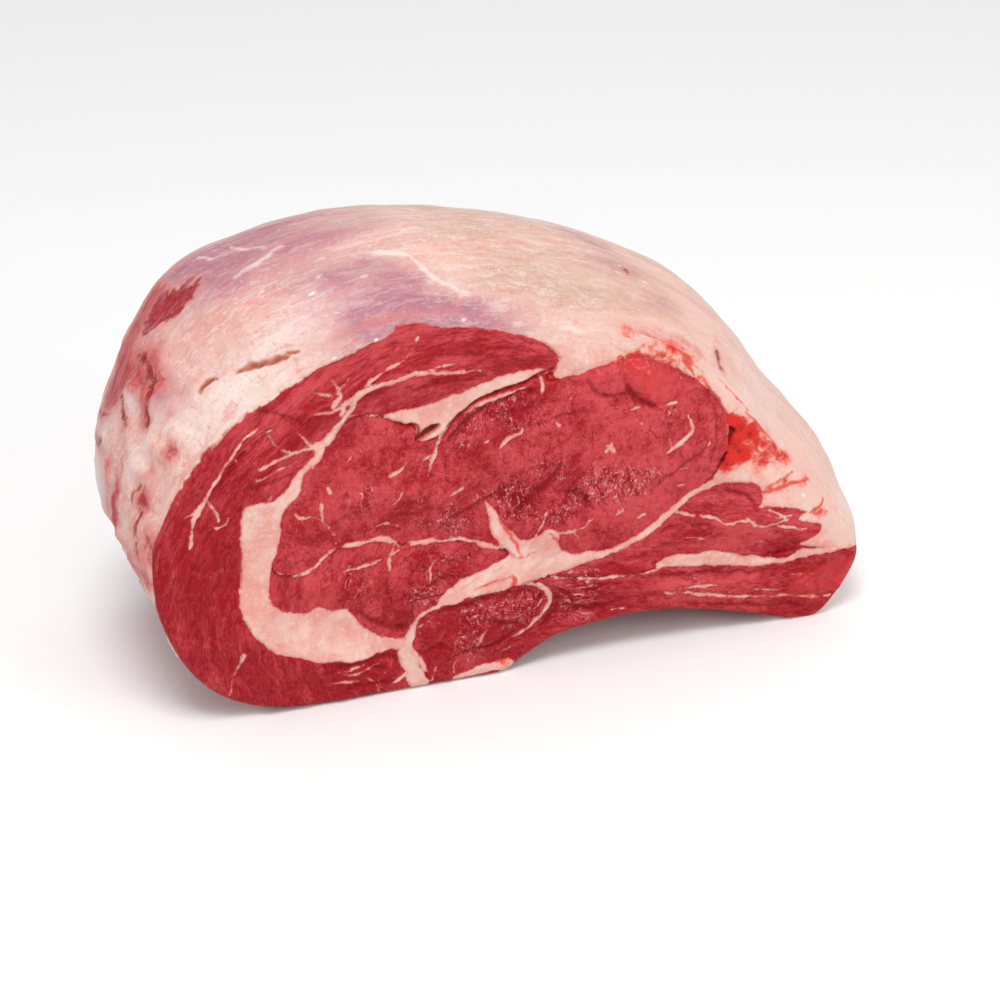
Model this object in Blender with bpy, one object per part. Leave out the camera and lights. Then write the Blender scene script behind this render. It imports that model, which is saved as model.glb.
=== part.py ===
"""Raw beef rib roast, modelled as one solid.

A short joint cut across the ribs. Its two cut faces stand upright and show the rounded ends of the
muscles, its fat cap swells out between them, and it rests on the chine side and on the tip of the
rib side, with the hollow of the rib cage between. X runs from chine to rib tips, Y from the front
cut to the back cut, and Z is up.
"""

import math

import bmesh
import bpy
import numpy as np

MM = 0.001

# Driving dimensions
DEPTH = 96 * MM                # between the two cuts, along Y
AROUND = 112                   # faces round the joint
FACE_RINGS = 14                # rings from the middle of a cut face to its rim
SIDE_ROWS = 15                 # rows from the front rim to the back rim
FACE_CENTRE = (10, 74)         # mm, where the rings of a cut face start
BACK_TAPER = (0.96, 0.93)      # width and height of the back cut, as shares of the front one
RIM_ROUND = 3.5                # mm, radius of the edge where a cut meets the outside

# Relief of a cut face, in mm
MUSCLE_BULGE = 3.2             # how far a muscle stands out between its seams
MUSCLE_SHOULDER = 11           # how far from a seam it reaches that height

# Rim of the front cut from the chine foot along the base and back over the top, in mm, each point
# with how far the outside swells past it: (x, z, swell)
RIM = (
    (-110, 14, 0), (-97, 5, 0), (-82, 1, 0), (-66, 0, 0), (-40, 0, 0), (-20, 0, 0), (-8, 0, 0),
    (1, 5, 0), (12, 10.5, 0), (25, 12.5, 0), (40, 13.5, 0), (56, 12, 0), (74, 8, 0), (90, 3, 0),
    (101, 0, 0), (110, 0, 1), (117, 7, 4), (122, 15, 7), (124, 23, 10), (120, 33, 13),
    (110, 46, 17), (100, 58, 18), (88, 72, 18), (75, 89, 19), (58, 106, 21), (38, 117.5, 22),
    (14, 126, 24), (-12, 131, 26), (-40, 133.5, 27), (-62, 129, 29), (-82, 119.5, 31),
    (-97, 107.5, 30), (-109, 94, 26), (-118, 80, 19), (-124, 66, 11), (-125, 50, 3), (-120, 30, 0),
)

# How the swelling runs from the front cut to the back cut: (share of the depth, share of the swell)
SWELL_RUN = ((0, 0), (0.1, 0.42), (0.22, 0.76), (0.34, 0.95), (0.46, 1), (0.58, 0.93),
             (0.7, 0.75), (0.85, 0.42), (1, 0))

# Fat seams between the muscles of a cut face, in mm as (x, z)
SEAMS = {
    "cap_over_eye": ((12, 109), (-4, 108), (-18, 104), (-28, 98), (-33, 88)),
    "chine_wedge": ((-28, 100), (-46, 103), (-66, 97), (-80, 82), (-88, 68), (-94, 52)),
    "eye_underside": ((72, 58), (58, 56), (44, 46), (30, 40), (10, 40), (-4, 44)),
    "middle_knot": ((-4, 44), (-12, 56), (-14, 66)),
    "chine_seam": ((-68, 57), (-50, 59), (-36, 56), (-18, 52), (-4, 46)),
    "chine_foot": ((-78, 34), (-58, 27), (-44, 18), (-40, 2)),
    "rib_seam": ((-4, 36), (30, 38), (56, 31), (80, 27), (104, 24)),
    "rib_knob": ((-2, 34), (8, 28), (7, 20), (-4, 13)),
}


def closed_curve(points, count):
    """`count` points evenly spaced along a smooth closed curve through `points`, a row for each."""
    p = np.array(points, float)
    before, after, beyond = np.roll(p, 1, 0), np.roll(p, -1, 0), np.roll(p, -2, 0)
    t = np.linspace(0, 1, 24, endpoint=False)[:, None, None]
    fine = 0.5 * (2 * p + (after - before) * t
                  + (2 * before - 5 * p + 4 * after - beyond) * t ** 2
                  + (3 * p - before - 3 * after + beyond) * t ** 3)
    fine = fine.transpose(1, 0, 2).reshape(-1, p.shape[1])
    fine = np.vstack([fine, fine[:1]])
    length = np.concatenate([[0], np.cumsum(np.hypot(*np.diff(fine[:, :2], axis=0).T))])
    at = np.linspace(0, length[-1], count, endpoint=False)
    return np.column_stack([np.interp(at, length, column) for column in fine.T])


def distance_to_line(points, line):
    """Distance from each point to a polyline."""
    nearest = np.full(len(points), np.inf)
    for start, end in zip(line[:-1], line[1:]):
        start, along = np.array(start, float), np.array(end, float) - start
        share = np.clip((points - start) @ along / (along @ along), 0, 1)
        away = points - start - share[:, None] * along
        nearest = np.minimum(nearest, np.hypot(away[:, 0], away[:, 1]))
    return nearest


def smooth_step(low, high, value):
    share = np.clip((value - low) / (high - low), 0, 1)
    return share * share * (3 - 2 * share)


def face_relief(points, rim):
    """How far a cut face stands out at each point: muscles are rounded, seams and rim lie lower."""
    seam = np.min([distance_to_line(points, line) for line in SEAMS.values()], axis=0)
    edge = distance_to_line(points, np.vstack([rim, rim[:1]]))
    near = np.minimum(seam, edge)
    return MUSCLE_BULGE * (1 - np.exp(-(near / MUSCLE_SHOULDER) ** 2))


def outward(curve):
    """Outward normals of a closed curve that runs anticlockwise."""
    along = np.roll(curve, -1, 0) - np.roll(curve, 1, 0)
    normal = np.stack([along[:, 1], -along[:, 0]], -1)
    return normal / np.hypot(normal[:, 0], normal[:, 1])[:, None]


def swell_at(share):
    """Share of the full swelling at a share of the depth, by a smooth curve through SWELL_RUN."""
    at, swell = np.array(SWELL_RUN, float).T
    slope = np.gradient(swell, at)
    k = min(max(int(np.searchsorted(at, share)) - 1, 0), len(at) - 2)
    gap = at[k + 1] - at[k]
    t = (share - at[k]) / gap
    return float((2 * t ** 3 - 3 * t ** 2 + 1) * swell[k] + (t ** 3 - 2 * t ** 2 + t) * gap * slope[k]
                 + (3 * t ** 2 - 2 * t ** 3) * swell[k + 1] + (t ** 3 - t ** 2) * gap * slope[k + 1])


def side_row(rim, swell, share):
    """The outline of the joint at a share of its depth, 0 at the front cut and 1 at the back cut."""
    row = rim + outward(rim) * (swell * swell_at(share))[:, None]
    return row * (1 + (np.array(BACK_TAPER) - 1) * share)


def rim_inset(share):
    """How far a row near a cut is drawn in, so that the cut's edge is rounded."""
    from_cut = min(share, 1 - share) * DEPTH / MM
    if from_cut >= RIM_ROUND:
        return 0
    return RIM_ROUND - math.sqrt(RIM_ROUND ** 2 - (RIM_ROUND - from_cut) ** 2)


def face_rings(rim, y, facing):
    """Rings of a cut face from its middle out to its rim, as (x, y, z) in mm."""
    inner = rim - outward(rim) * RIM_ROUND
    rings = []
    for ring in range(1, FACE_RINGS + 1):
        flat = FACE_CENTRE + (inner - FACE_CENTRE) * ring / FACE_RINGS
        out = y + facing * face_relief(flat, inner)
        rings.append(np.column_stack([flat[:, 0], out, flat[:, 1]]))
    return rings


def side_rings(rim, swell):
    """Rows of the outside from the front rim to the back rim, closer together at the rounded edges."""
    edge = np.array([0.3, 1.2]) * RIM_ROUND * MM / DEPTH
    middle = np.linspace(0.07, 0.93, SIDE_ROWS - 2 * len(edge))
    rings = []
    for share in [*edge, *middle, *(1 - edge[::-1])]:
        row = side_row(rim, swell, share)
        row = row - outward(row) * rim_inset(share)
        y = np.full(len(row), (share - 0.5) * DEPTH / MM)
        rings.append(np.column_stack([row[:, 0], y, np.maximum(row[:, 1], 0)]))
    return rings


def all_rings():
    """Every ring of the joint from the front pole to the back pole, as rows of (x, y, z) in mm."""
    curve = closed_curve(RIM, AROUND)
    front, swell = curve[:, :2], np.maximum(curve[:, 2], 0)
    rings = face_rings(front, -DEPTH / 2 / MM, -1)
    rings += side_rings(front, swell)
    rings += face_rings(side_row(front, swell, 1), DEPTH / 2 / MM, 1)[::-1]
    poles = [(*FACE_CENTRE, side) for side in (-1, 1)]
    first, last = ([(x, side * (DEPTH / 2 / MM + MUSCLE_BULGE), z)] * AROUND for x, z, side in poles)
    return np.array([first, *rings, last])


def build_roast():
    """The whole joint: a UV sphere whose poles are the middles of the cuts, drawn onto the rings."""
    rings = all_rings()
    low, high = rings.min(axis=(0, 1)), rings.max(axis=(0, 1))
    rings -= ((low[0] + high[0]) / 2, (low[1] + high[1]) / 2, low[2])

    mesh = bmesh.new()
    bmesh.ops.create_uvsphere(mesh, u_segments=AROUND, v_segments=len(rings) - 1, radius=1)
    for vertex in mesh.verts:
        ring = round(math.acos(max(-1, min(1, vertex.co.z))) / math.pi * (len(rings) - 1))
        turn = math.atan2(vertex.co.y, vertex.co.x) / (2 * math.pi)
        vertex.co = rings[ring, round(turn * AROUND) % AROUND] * MM
    data = bpy.data.meshes.new("roast")
    mesh.to_mesh(data)
    mesh.free()
    data.shade_smooth()
    return data


def raw_beef():
    material = bpy.data.materials.new("raw_beef")
    material.use_nodes = True
    shader = material.node_tree.nodes["Principled BSDF"]
    shader.inputs["Base Color"].default_value = (0.48, 0.05, 0.06, 1)
    shader.inputs["Roughness"].default_value = 0.4
    shader.inputs["Metallic"].default_value = 0
    return material


def main():
    for old in list(bpy.data.objects):
        bpy.data.objects.remove(old, do_unlink=True)
    joint = bpy.data.collections.new("beef_rib_roast")
    bpy.context.scene.collection.children.link(joint)
    roast = bpy.data.objects.new("roast", build_roast())
    roast.data.materials.append(raw_beef())
    joint.objects.link(roast)


main()
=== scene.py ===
"""A raw beef rib roast on a pale floor: two cut faces and the fat cap and rib side between them.

The cut faces show rounded muscle ends parted by fat, with marbling, fresh blood and slits darkened
with painted shade. The outside is a thick fat cap with silverskin, streaks, torn patches of lean and
creases with painted shadow in them. Positions are in millimetres: on a cut face as (x, z), and on the
outside as (round, deep), where round runs along the rim from the chine foot, under the ribs and back
over the cap, and deep runs from the front cut to the back one.
"""

import math

import bpy
import numpy as np
from bpy.props import FloatProperty, FloatVectorProperty, PointerProperty
from bpy.types import Operator, Panel, PropertyGroup
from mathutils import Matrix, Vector


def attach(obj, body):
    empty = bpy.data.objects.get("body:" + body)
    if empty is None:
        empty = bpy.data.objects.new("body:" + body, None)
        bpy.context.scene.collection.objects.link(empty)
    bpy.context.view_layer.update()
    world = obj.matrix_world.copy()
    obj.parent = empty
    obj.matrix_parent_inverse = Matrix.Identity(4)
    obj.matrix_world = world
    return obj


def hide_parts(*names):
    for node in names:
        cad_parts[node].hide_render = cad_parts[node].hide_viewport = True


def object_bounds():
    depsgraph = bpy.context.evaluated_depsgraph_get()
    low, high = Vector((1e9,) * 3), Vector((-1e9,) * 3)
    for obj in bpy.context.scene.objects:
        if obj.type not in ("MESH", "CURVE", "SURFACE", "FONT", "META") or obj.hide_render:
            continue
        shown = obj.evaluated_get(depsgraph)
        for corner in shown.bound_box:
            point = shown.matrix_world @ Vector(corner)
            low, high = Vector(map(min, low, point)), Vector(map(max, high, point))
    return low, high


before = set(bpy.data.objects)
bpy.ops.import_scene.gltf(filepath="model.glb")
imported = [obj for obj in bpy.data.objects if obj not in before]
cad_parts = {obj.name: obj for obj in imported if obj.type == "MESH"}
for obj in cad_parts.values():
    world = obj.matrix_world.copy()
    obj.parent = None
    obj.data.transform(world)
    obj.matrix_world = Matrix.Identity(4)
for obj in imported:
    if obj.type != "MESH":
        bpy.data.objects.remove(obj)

bl_info = {
    "name": "Beef Rib Roast",
    "version": (1, 0, 0),
    "blender": (4, 5, 0),
    "location": "View3D > Sidebar > Roast",
    "description": "Dresses the packed rib roast and sets it on a plain stage",
    "category": "Object",
}

CAD_LOW, CAD_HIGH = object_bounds()
MM = 0.001
DEPTH = 96              # mm between the two cuts
SHIFT = 0.7             # mm from the rim's own x to the middle of the joint
BACK_TAPER = (0.96, 0.93)
RIM_ROUND = 3.5         # mm, radius of a cut's edge

# Rim of the front cut and how far the outside swells past it: (x, z, swell)
RIM = (
    (-110, 14, 0), (-97, 5, 0), (-82, 1, 0), (-66, 0, 0), (-40, 0, 0), (-20, 0, 0), (-8, 0, 0),
    (1, 5, 0), (12, 10.5, 0), (25, 12.5, 0), (40, 13.5, 0), (56, 12, 0), (74, 8, 0), (90, 3, 0),
    (101, 0, 0), (110, 0, 1), (117, 7, 4), (122, 15, 7), (124, 23, 10), (120, 33, 13),
    (110, 46, 17), (100, 58, 18), (88, 72, 18), (75, 89, 19), (58, 106, 21), (38, 117.5, 22),
    (14, 126, 24), (-12, 131, 26), (-40, 133.5, 27), (-62, 129, 29), (-82, 119.5, 31),
    (-97, 107.5, 30), (-109, 94, 26), (-118, 80, 19), (-124, 66, 11), (-125, 50, 3), (-120, 30, 0),
)
SWELL_RUN = ((0, 0), (0.1, 0.42), (0.22, 0.76), (0.34, 0.95), (0.46, 1), (0.58, 0.93),
             (0.7, 0.75), (0.85, 0.42), (1, 0))

# Seams where the muscles of a cut face part and its surface lies lower
SEAMS = (
    ((12, 109), (-4, 108), (-18, 104), (-28, 98), (-33, 88)),
    ((-28, 100), (-46, 103), (-66, 97), (-80, 82), (-88, 68), (-94, 52)),
    ((72, 58), (58, 56), (44, 46), (30, 40), (10, 40), (-4, 44)),
    ((-4, 44), (-12, 56), (-14, 66)),
    ((-68, 57), (-50, 59), (-36, 56), (-18, 52), (-4, 46)),
    ((-78, 34), (-58, 27), (-44, 18), (-40, 2)),
    ((-4, 36), (30, 38), (56, 31), (80, 27), (104, 24)),
    ((-2, 34), (8, 28), (7, 20), (-4, 13)),
)


def smooth_step(low, high, value):
    share = np.clip((value - low) / (high - low), 0, 1)
    return share * share * (3 - 2 * share)


def smooth_curve(points, steps=8, closed=False):
    """A smooth curve through `points`, with `steps` short pieces between each two."""
    p = np.array(points, float)
    if closed:
        before, here, after, beyond = np.roll(p, 1, 0), p, np.roll(p, -1, 0), np.roll(p, -2, 0)
    else:
        ends = np.vstack([2 * p[0] - p[1], p, 2 * p[-1] - p[-2]])
        before, here, after, beyond = ends[:-3], ends[1:-2], ends[2:-1], ends[3:]
    t = np.linspace(0, 1, steps, endpoint=False)[:, None, None]
    fine = 0.5 * (2 * here + (after - before) * t
                  + (2 * before - 5 * here + 4 * after - beyond) * t ** 2
                  + (3 * here - before - 3 * after + beyond) * t ** 3)
    fine = fine.transpose(1, 0, 2).reshape(-1, p.shape[1])
    return np.vstack([fine, fine[:1] if closed else p[-1:]])


def noise(points, size, seed=0, octaves=1):
    """Smooth random values from -1 to 1 at points in mm, which change over about `size` mm."""
    points = np.asarray(points, float)
    total, weight, strength = 0, 0, 1
    for octave in range(octaves):
        place = points / (size / 2 ** octave) + 31.7 * (seed + octave)
        cell = np.floor(place).astype(np.int64)
        part = place - cell
        part = part * part * part * (part * (part * 6 - 15) + 10)
        value = 0
        for corner in np.ndindex(*(2,) * points.shape[1]):
            mixed = np.zeros(len(points), np.int64)
            share = np.ones(len(points))
            for axis, step in enumerate(corner):
                mixed = (mixed ^ (cell[:, axis] + step) * (73856093, 19349663, 83492791)[axis]) & 0xFFFFFFFF
                share = share * (part[:, axis] if step else 1 - part[:, axis])
            mixed = (mixed ^ mixed >> 15) * 2246822519 & 0xFFFFFFFF
            mixed = (mixed ^ mixed >> 13) * 3266489917 & 0xFFFFFFFF
            value = value + share * ((mixed ^ mixed >> 16) / 0x7FFFFFFF - 1)
        total, weight, strength = total + value * strength, weight + strength, strength / 2
    return total / weight * 1.6


def line_distance(points, line):
    """Distance from each point to a line, and how far along the line its nearest point is."""
    nearest, along = np.full(len(points), np.inf), np.zeros(len(points))
    for k, (start, end) in enumerate(zip(line[:-1], line[1:])):
        way = end - start
        share = np.clip((points - start) @ way / max(way @ way, 1e-9), 0, 1)
        away = points - start - share[:, None] * way
        away = np.hypot(away[:, 0], away[:, 1])
        closer = away < nearest
        nearest[closer], along[closer] = away[closer], (k + share[closer]) / (len(line) - 1)
    return nearest, along


def near(points, shape, reach):
    """Which points lie within `reach` of the box round a shape."""
    low, high = shape.min(axis=0) - reach, shape.max(axis=0) + reach
    return ((points >= low) & (points <= high)).all(axis=1)


def paint_area(field, points, outline, reach=6):
    """Raises `field` to the depth inside a closed outline, in mm: above 0 inside it, below 0 outside."""
    edge = smooth_curve(outline, 4, closed=True)
    close = near(points, edge, reach)
    p = points[close]
    inside = np.zeros(len(p), bool)
    for (x0, z0), (x1, z1) in zip(edge[:-1], edge[1:]):
        if z0 != z1:
            inside ^= ((z0 > p[:, 1]) != (z1 > p[:, 1])) & (
                p[:, 0] < (x1 - x0) * (p[:, 1] - z0) / (z1 - z0) + x0)
    distance, _ = line_distance(p, edge)
    field[close] = np.maximum(field[close], np.where(inside, distance, -distance))


def paint_line(field, points, line, reach=6):
    """Raises `field` along a line of (x, z, half width), to the depth inside its width in mm."""
    line = np.array(line, float)
    curve = smooth_curve(line, 5)
    close = near(points, curve[:, :2], reach)
    distance, along = line_distance(points[close], curve[:, :2])
    width = np.interp(along * (len(curve) - 1), np.arange(len(curve)), curve[:, 2])
    field[close] = np.maximum(field[close], width - distance)


def paint_blob(field, points, x, z, radius, amount=1.0):
    """Adds a soft round patch to `field`."""
    field += amount * np.exp(-((points[:, 0] - x) ** 2 + (points[:, 1] - z) ** 2) / radius ** 2)


class Rim:
    """The rim of the front cut, read at any place along it in mm, and the outside behind it."""

    def __init__(self):
        fine = smooth_curve(RIM, 24, closed=True)
        length = np.concatenate([[0], np.cumsum(np.hypot(*np.diff(fine[:, :2], axis=0).T))])
        self.length = length[-1]
        self.at = np.linspace(0, self.length, 4001)
        self.columns = [np.interp(self.at, length, column) for column in fine.T]
        way = np.gradient(np.stack(self.columns[:2]), axis=1)
        way[:, 0] = way[:, -1] = (way[:, 0] + way[:, -1]) / 2
        self.normals = np.array([way[1], -way[0]]) / np.hypot(*way)

    def read(self, place):
        """Points (x, z) of the rim, outward normals and swelling at places along it."""
        place = np.mod(place, self.length)
        x, z, swell, nx, nz = (np.interp(place, self.at, c) for c in (*self.columns, *self.normals))
        return np.stack([x, z], -1), np.stack([nx, nz], -1), np.maximum(swell, 0)

    def place_of(self, index):
        """Where along the rim a point of RIM lies, in mm."""
        x, z, _ = RIM[index]
        return self.at[np.argmin(np.hypot(self.columns[0] - x, self.columns[1] - z))]


def swell_at(share):
    """Share of the full swelling at shares of the depth, by a smooth curve through SWELL_RUN."""
    at, swell = np.array(SWELL_RUN, float).T
    slope = np.gradient(swell, at)
    k = np.clip(np.searchsorted(at, share) - 1, 0, len(at) - 2)
    gap = at[k + 1] - at[k]
    t = (share - at[k]) / gap
    return ((2 * t ** 3 - 3 * t ** 2 + 1) * swell[k] + (t ** 3 - 2 * t ** 2 + t) * gap * slope[k]
            + (3 * t ** 2 - 2 * t ** 3) * swell[k + 1] + (t ** 3 - t ** 2) * gap * slope[k + 1])


def taper(share):
    return 1 + (np.array(BACK_TAPER) - 1) * np.asarray(share)[..., None]


def to_frame(x, y, z):
    """Vertices in metres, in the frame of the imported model, from millimetres on the rim's own axes,
    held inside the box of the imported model."""
    return np.clip(np.column_stack([x + SHIFT, y, z]) * MM, CAD_LOW, CAD_HIGH)


def set_vertices(piece, vertices):
    piece.data.vertices.foreach_set("co", np.ascontiguousarray(vertices, np.float32).ravel())
    piece.data.update()


def set_field(piece, name, values):
    """Stores a number or a vector on each vertex, for the material to read."""
    values = np.asarray(values, np.float32)
    kind, key = ("FLOAT", "value") if values.ndim == 1 else ("FLOAT_VECTOR", "vector")
    piece.data.attributes.new(name, kind, "POINT").data.foreach_set(key, values.ravel())


def new_piece(name, add, **size):
    """Adds a primitive with nothing else selected, and names it."""
    bpy.ops.object.select_all(action="DESELECT")
    add(**size)
    piece = bpy.context.object
    piece.name = piece.data.name = name
    return piece


def close_inside(piece, inwards):
    """Closes an open sheet behind its rim with a short wall and a flat back, out of sight."""
    bpy.ops.object.mode_set(mode="EDIT")
    bpy.ops.mesh.select_mode(type="EDGE")
    bpy.ops.mesh.select_all(action="DESELECT")
    bpy.ops.mesh.select_non_manifold()
    bpy.ops.mesh.mark_sharp()
    bpy.ops.mesh.extrude_edges_move(TRANSFORM_OT_translate={"value": (0, inwards, 0)})
    bpy.ops.transform.resize(value=(0.95, 1, 0.92), center_override=(0, 0, 0.07))
    bpy.ops.mesh.edge_face_add()
    bpy.ops.object.mode_set(mode="OBJECT")


def finish_piece(piece, material):
    """Gives a piece smooth shading and its finish, hangs it under the root body, and hides the model's roast part."""
    for polygon in piece.data.polygons:
        polygon.use_smooth = True
    piece.data.materials.append(material)
    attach(piece, "root")
    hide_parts("roast")


# ---------------------------------------------------------------- finishes


class Signal:
    """A value, colour or vector in a finish. Sums on values add Math nodes."""

    def __init__(self, finish, socket):
        self.finish, self.socket = finish, socket

    def math(self, operation, *others, first=None):
        values = (self, *others) if first is None else (first, self)
        return self.finish.node("Math", {"operation": operation}, dict(enumerate(values)))

    def __add__(self, other):
        return self.math("ADD", other)

    def __sub__(self, other):
        return self.math("SUBTRACT", other)

    def __rsub__(self, other):
        return self.math("SUBTRACT", first=other)

    def __mul__(self, other):
        return self.math("MULTIPLY", other)

    def __truediv__(self, other):
        return self.math("DIVIDE", other)

    def __pow__(self, other):
        return self.math("POWER", other)

    __radd__, __rmul__ = __add__, __mul__

    def least(self, other):
        return self.math("MINIMUM", other)

    def most(self, other):
        return self.math("MAXIMUM", other)

    def between(self, low, high):
        """A smooth rise from 0 where the value is `low` to 1 where it is `high`."""
        return self.finish.node("MapRange", {"interpolation_type": "SMOOTHSTEP"},
                                {"Value": self, "From Min": low, "From Max": high})


class Finish:
    """A procedural material, built node by node."""

    def __init__(self, name):
        self.material = bpy.data.materials.new(name)
        self.material.use_nodes = True
        self.tree = self.material.node_tree
        self.shader = self.tree.nodes["Principled BSDF"]

    def node(self, kind, settings=None, values=None, out=0):
        """Adds a shader node, with its settings first and then its values or links."""
        made = self.tree.nodes.new("ShaderNode" + kind)
        for key, value in (settings or {}).items():
            setattr(made, key, value)
        self.fill(made, values or {})
        return Signal(self, made.outputs[out])

    def fill(self, node, values):
        for key, value in values.items():
            if isinstance(value, Signal):
                self.tree.links.new(value.socket, node.inputs[key])
            else:
                node.inputs[key].default_value = value

    def place(self):
        return self.node("TexCoord", out="Object")

    def field(self, name, vector=False):
        return self.node("Attribute", {"attribute_name": name}, out="Vector" if vector else "Fac")

    def mix(self, share, first, second):
        """A colour between two others."""
        first, second = (c if isinstance(c, Signal) else (*c[:3], 1) for c in (first, second))
        return self.node("Mix", {"data_type": "RGBA"}, {0: share, 6: first, 7: second}, out=2)

    def stretch(self, vector, scale):
        return self.node("Mapping", values={"Vector": vector, "Scale": scale})

    def grains(self, vector, scale, detail=2.0, rough=0.5, distort=0.0, out="Fac"):
        return self.node("TexNoise", values={"Vector": vector, "Scale": scale, "Detail": detail,
                                             "Roughness": rough, "Distortion": distort}, out=out)

    def cells(self, vector, scale, feature="F1", out="Distance"):
        return self.node("TexVoronoi", {"feature": feature}, {"Vector": vector, "Scale": scale}, out=out)

    def sway(self, vector, scale, amount):
        """Places moved about by noise, so that a pattern on them wavers."""
        moved = self.node("VectorMath", {"operation": "MULTIPLY_ADD"},
                          {0: self.grains(vector, scale, out="Color"), 1: (amount,) * 3, 2: vector})
        return moved

    def bump(self, height, strength, distance):
        return self.node("Bump", values={"Height": height, "Strength": strength, "Distance": distance})


# ---------------------------------------------------------------- what shows on the cut faces

# Large fat on a cut face, as closed outlines
FAT_AREAS = (
    # the wedge over the eye muscle
    ((9, 111), (-5, 111.5), (-15, 109.5), (-25, 107), (-33, 105), (-42, 104), (-49, 103),
     (-43, 99.8), (-38, 97.5), (-37, 92.5), (-31, 92.5), (-28, 95.5), (-24, 99.5), (-18, 103.2),
     (-12, 105), (-5, 106.8), (3, 109)),
    # the chine block and the foot below it
    ((-67, 98), (-70, 91), (-75, 87), (-77, 80), (-82, 75), (-84, 66), (-85, 60), (-87.5, 52),
     (-88, 45), (-84, 39), (-77, 36.5), (-72, 38), (-67, 36), (-62, 35.8), (-59.5, 31), (-54, 25),
     (-48, 22), (-42, 20), (-43.4, 16.4), (-48, 17.2), (-54, 16.2), (-60, 15), (-66, 16.2), (-72, 17),
     (-78, 20), (-86, 23), (-93, 31), (-97, 40), (-97.5, 50), (-96, 60), (-96.5, 70), (-95, 77.5), (-91, 79.3),
     (-85, 79.6), (-79, 85.5), (-73, 92)),
    # the knot in the middle, with its lobe and the band under the eye muscle
    ((-14.5, 67), (-10.5, 62), (-7.5, 57), (-4, 52.5), (-1.5, 50), (3, 50.5), (8, 53), (11.5, 50),
     (12, 45.5), (16, 42.3), (23, 41.5), (31, 41.3), (38, 44.2), (45, 48.3), (52, 53.3),
     (58, 57.4), (64, 60.5), (70, 61.5), (70, 59), (62, 57.2), (56, 53), (50, 48.5), (44, 44.4),
     (37, 41), (31, 39.6), (25, 38.2), (17, 36.8), (8, 35.4), (0, 34), (-8, 32.3), (-16, 32.4),
     (-21, 32.2), (-25, 30.2), (-30, 31), (-30.5, 34), (-26, 37.5), (-19, 40.5), (-12, 43),
     (-6, 45.5), (-9.5, 50), (-12, 54.5), (-13.3, 60)),
    # the fat outside the eye muscle, from the top down to the rib tips
    ((-44, 132.4), (-38, 132.6), (-30, 131.2), (-20, 129.5), (-10, 127), (-4, 125), (3, 122),
     (8, 118), (11, 114.5), (9, 111), (10, 107.6), (15, 107.4), (22, 108.6), (29, 109.8),
     (36, 110.5), (43, 109.5), (50, 106), (57, 101), (63, 96.5), (67.5, 91), (70.5, 85),
     (71.5, 78), (71, 71), (69, 65), (67, 60.6), (74, 59.3), (80, 57.8), (85, 54.6), (86, 50.5),
     (84, 47.6), (91, 47), (98, 45), (103, 43), (100, 40.6), (104, 38.8), (109, 36.8), (107, 33),
     (101, 30.5), (106, 28.4), (114, 27), (124, 26), (132, 24), (128, 38), (116, 52), (106, 64),
     (94, 78), (81, 95), (64, 112), (44, 124), (20, 133), (-12, 138), (-44, 140)),
    # the thin edge of the cap at the upper left
    ((-124, 70), (-119, 80), (-110, 93), (-105, 98.5), (-100, 103.5), (-95, 107.3), (-85, 114.2),
     (-72, 121), (-60, 125.6), (-50, 129), (-44, 131.6), (-42, 138), (-62, 135), (-84, 125),
     (-100, 113), (-113, 98), (-123, 84), (-131, 68)),
    # the white band over the rib strip
    ((47, 31.2), (55, 29.8), (62, 28.8), (70, 27.2), (80, 25.8), (90, 24.6), (98, 24.3),
     (110, 25), (124, 25.4), (122, 27.6), (110, 27.4), (102, 28), (95, 25.9), (88, 27.6),
     (80, 29.8), (74, 32), (68, 34.2), (60, 34), (52, 34.4)),
)

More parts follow.
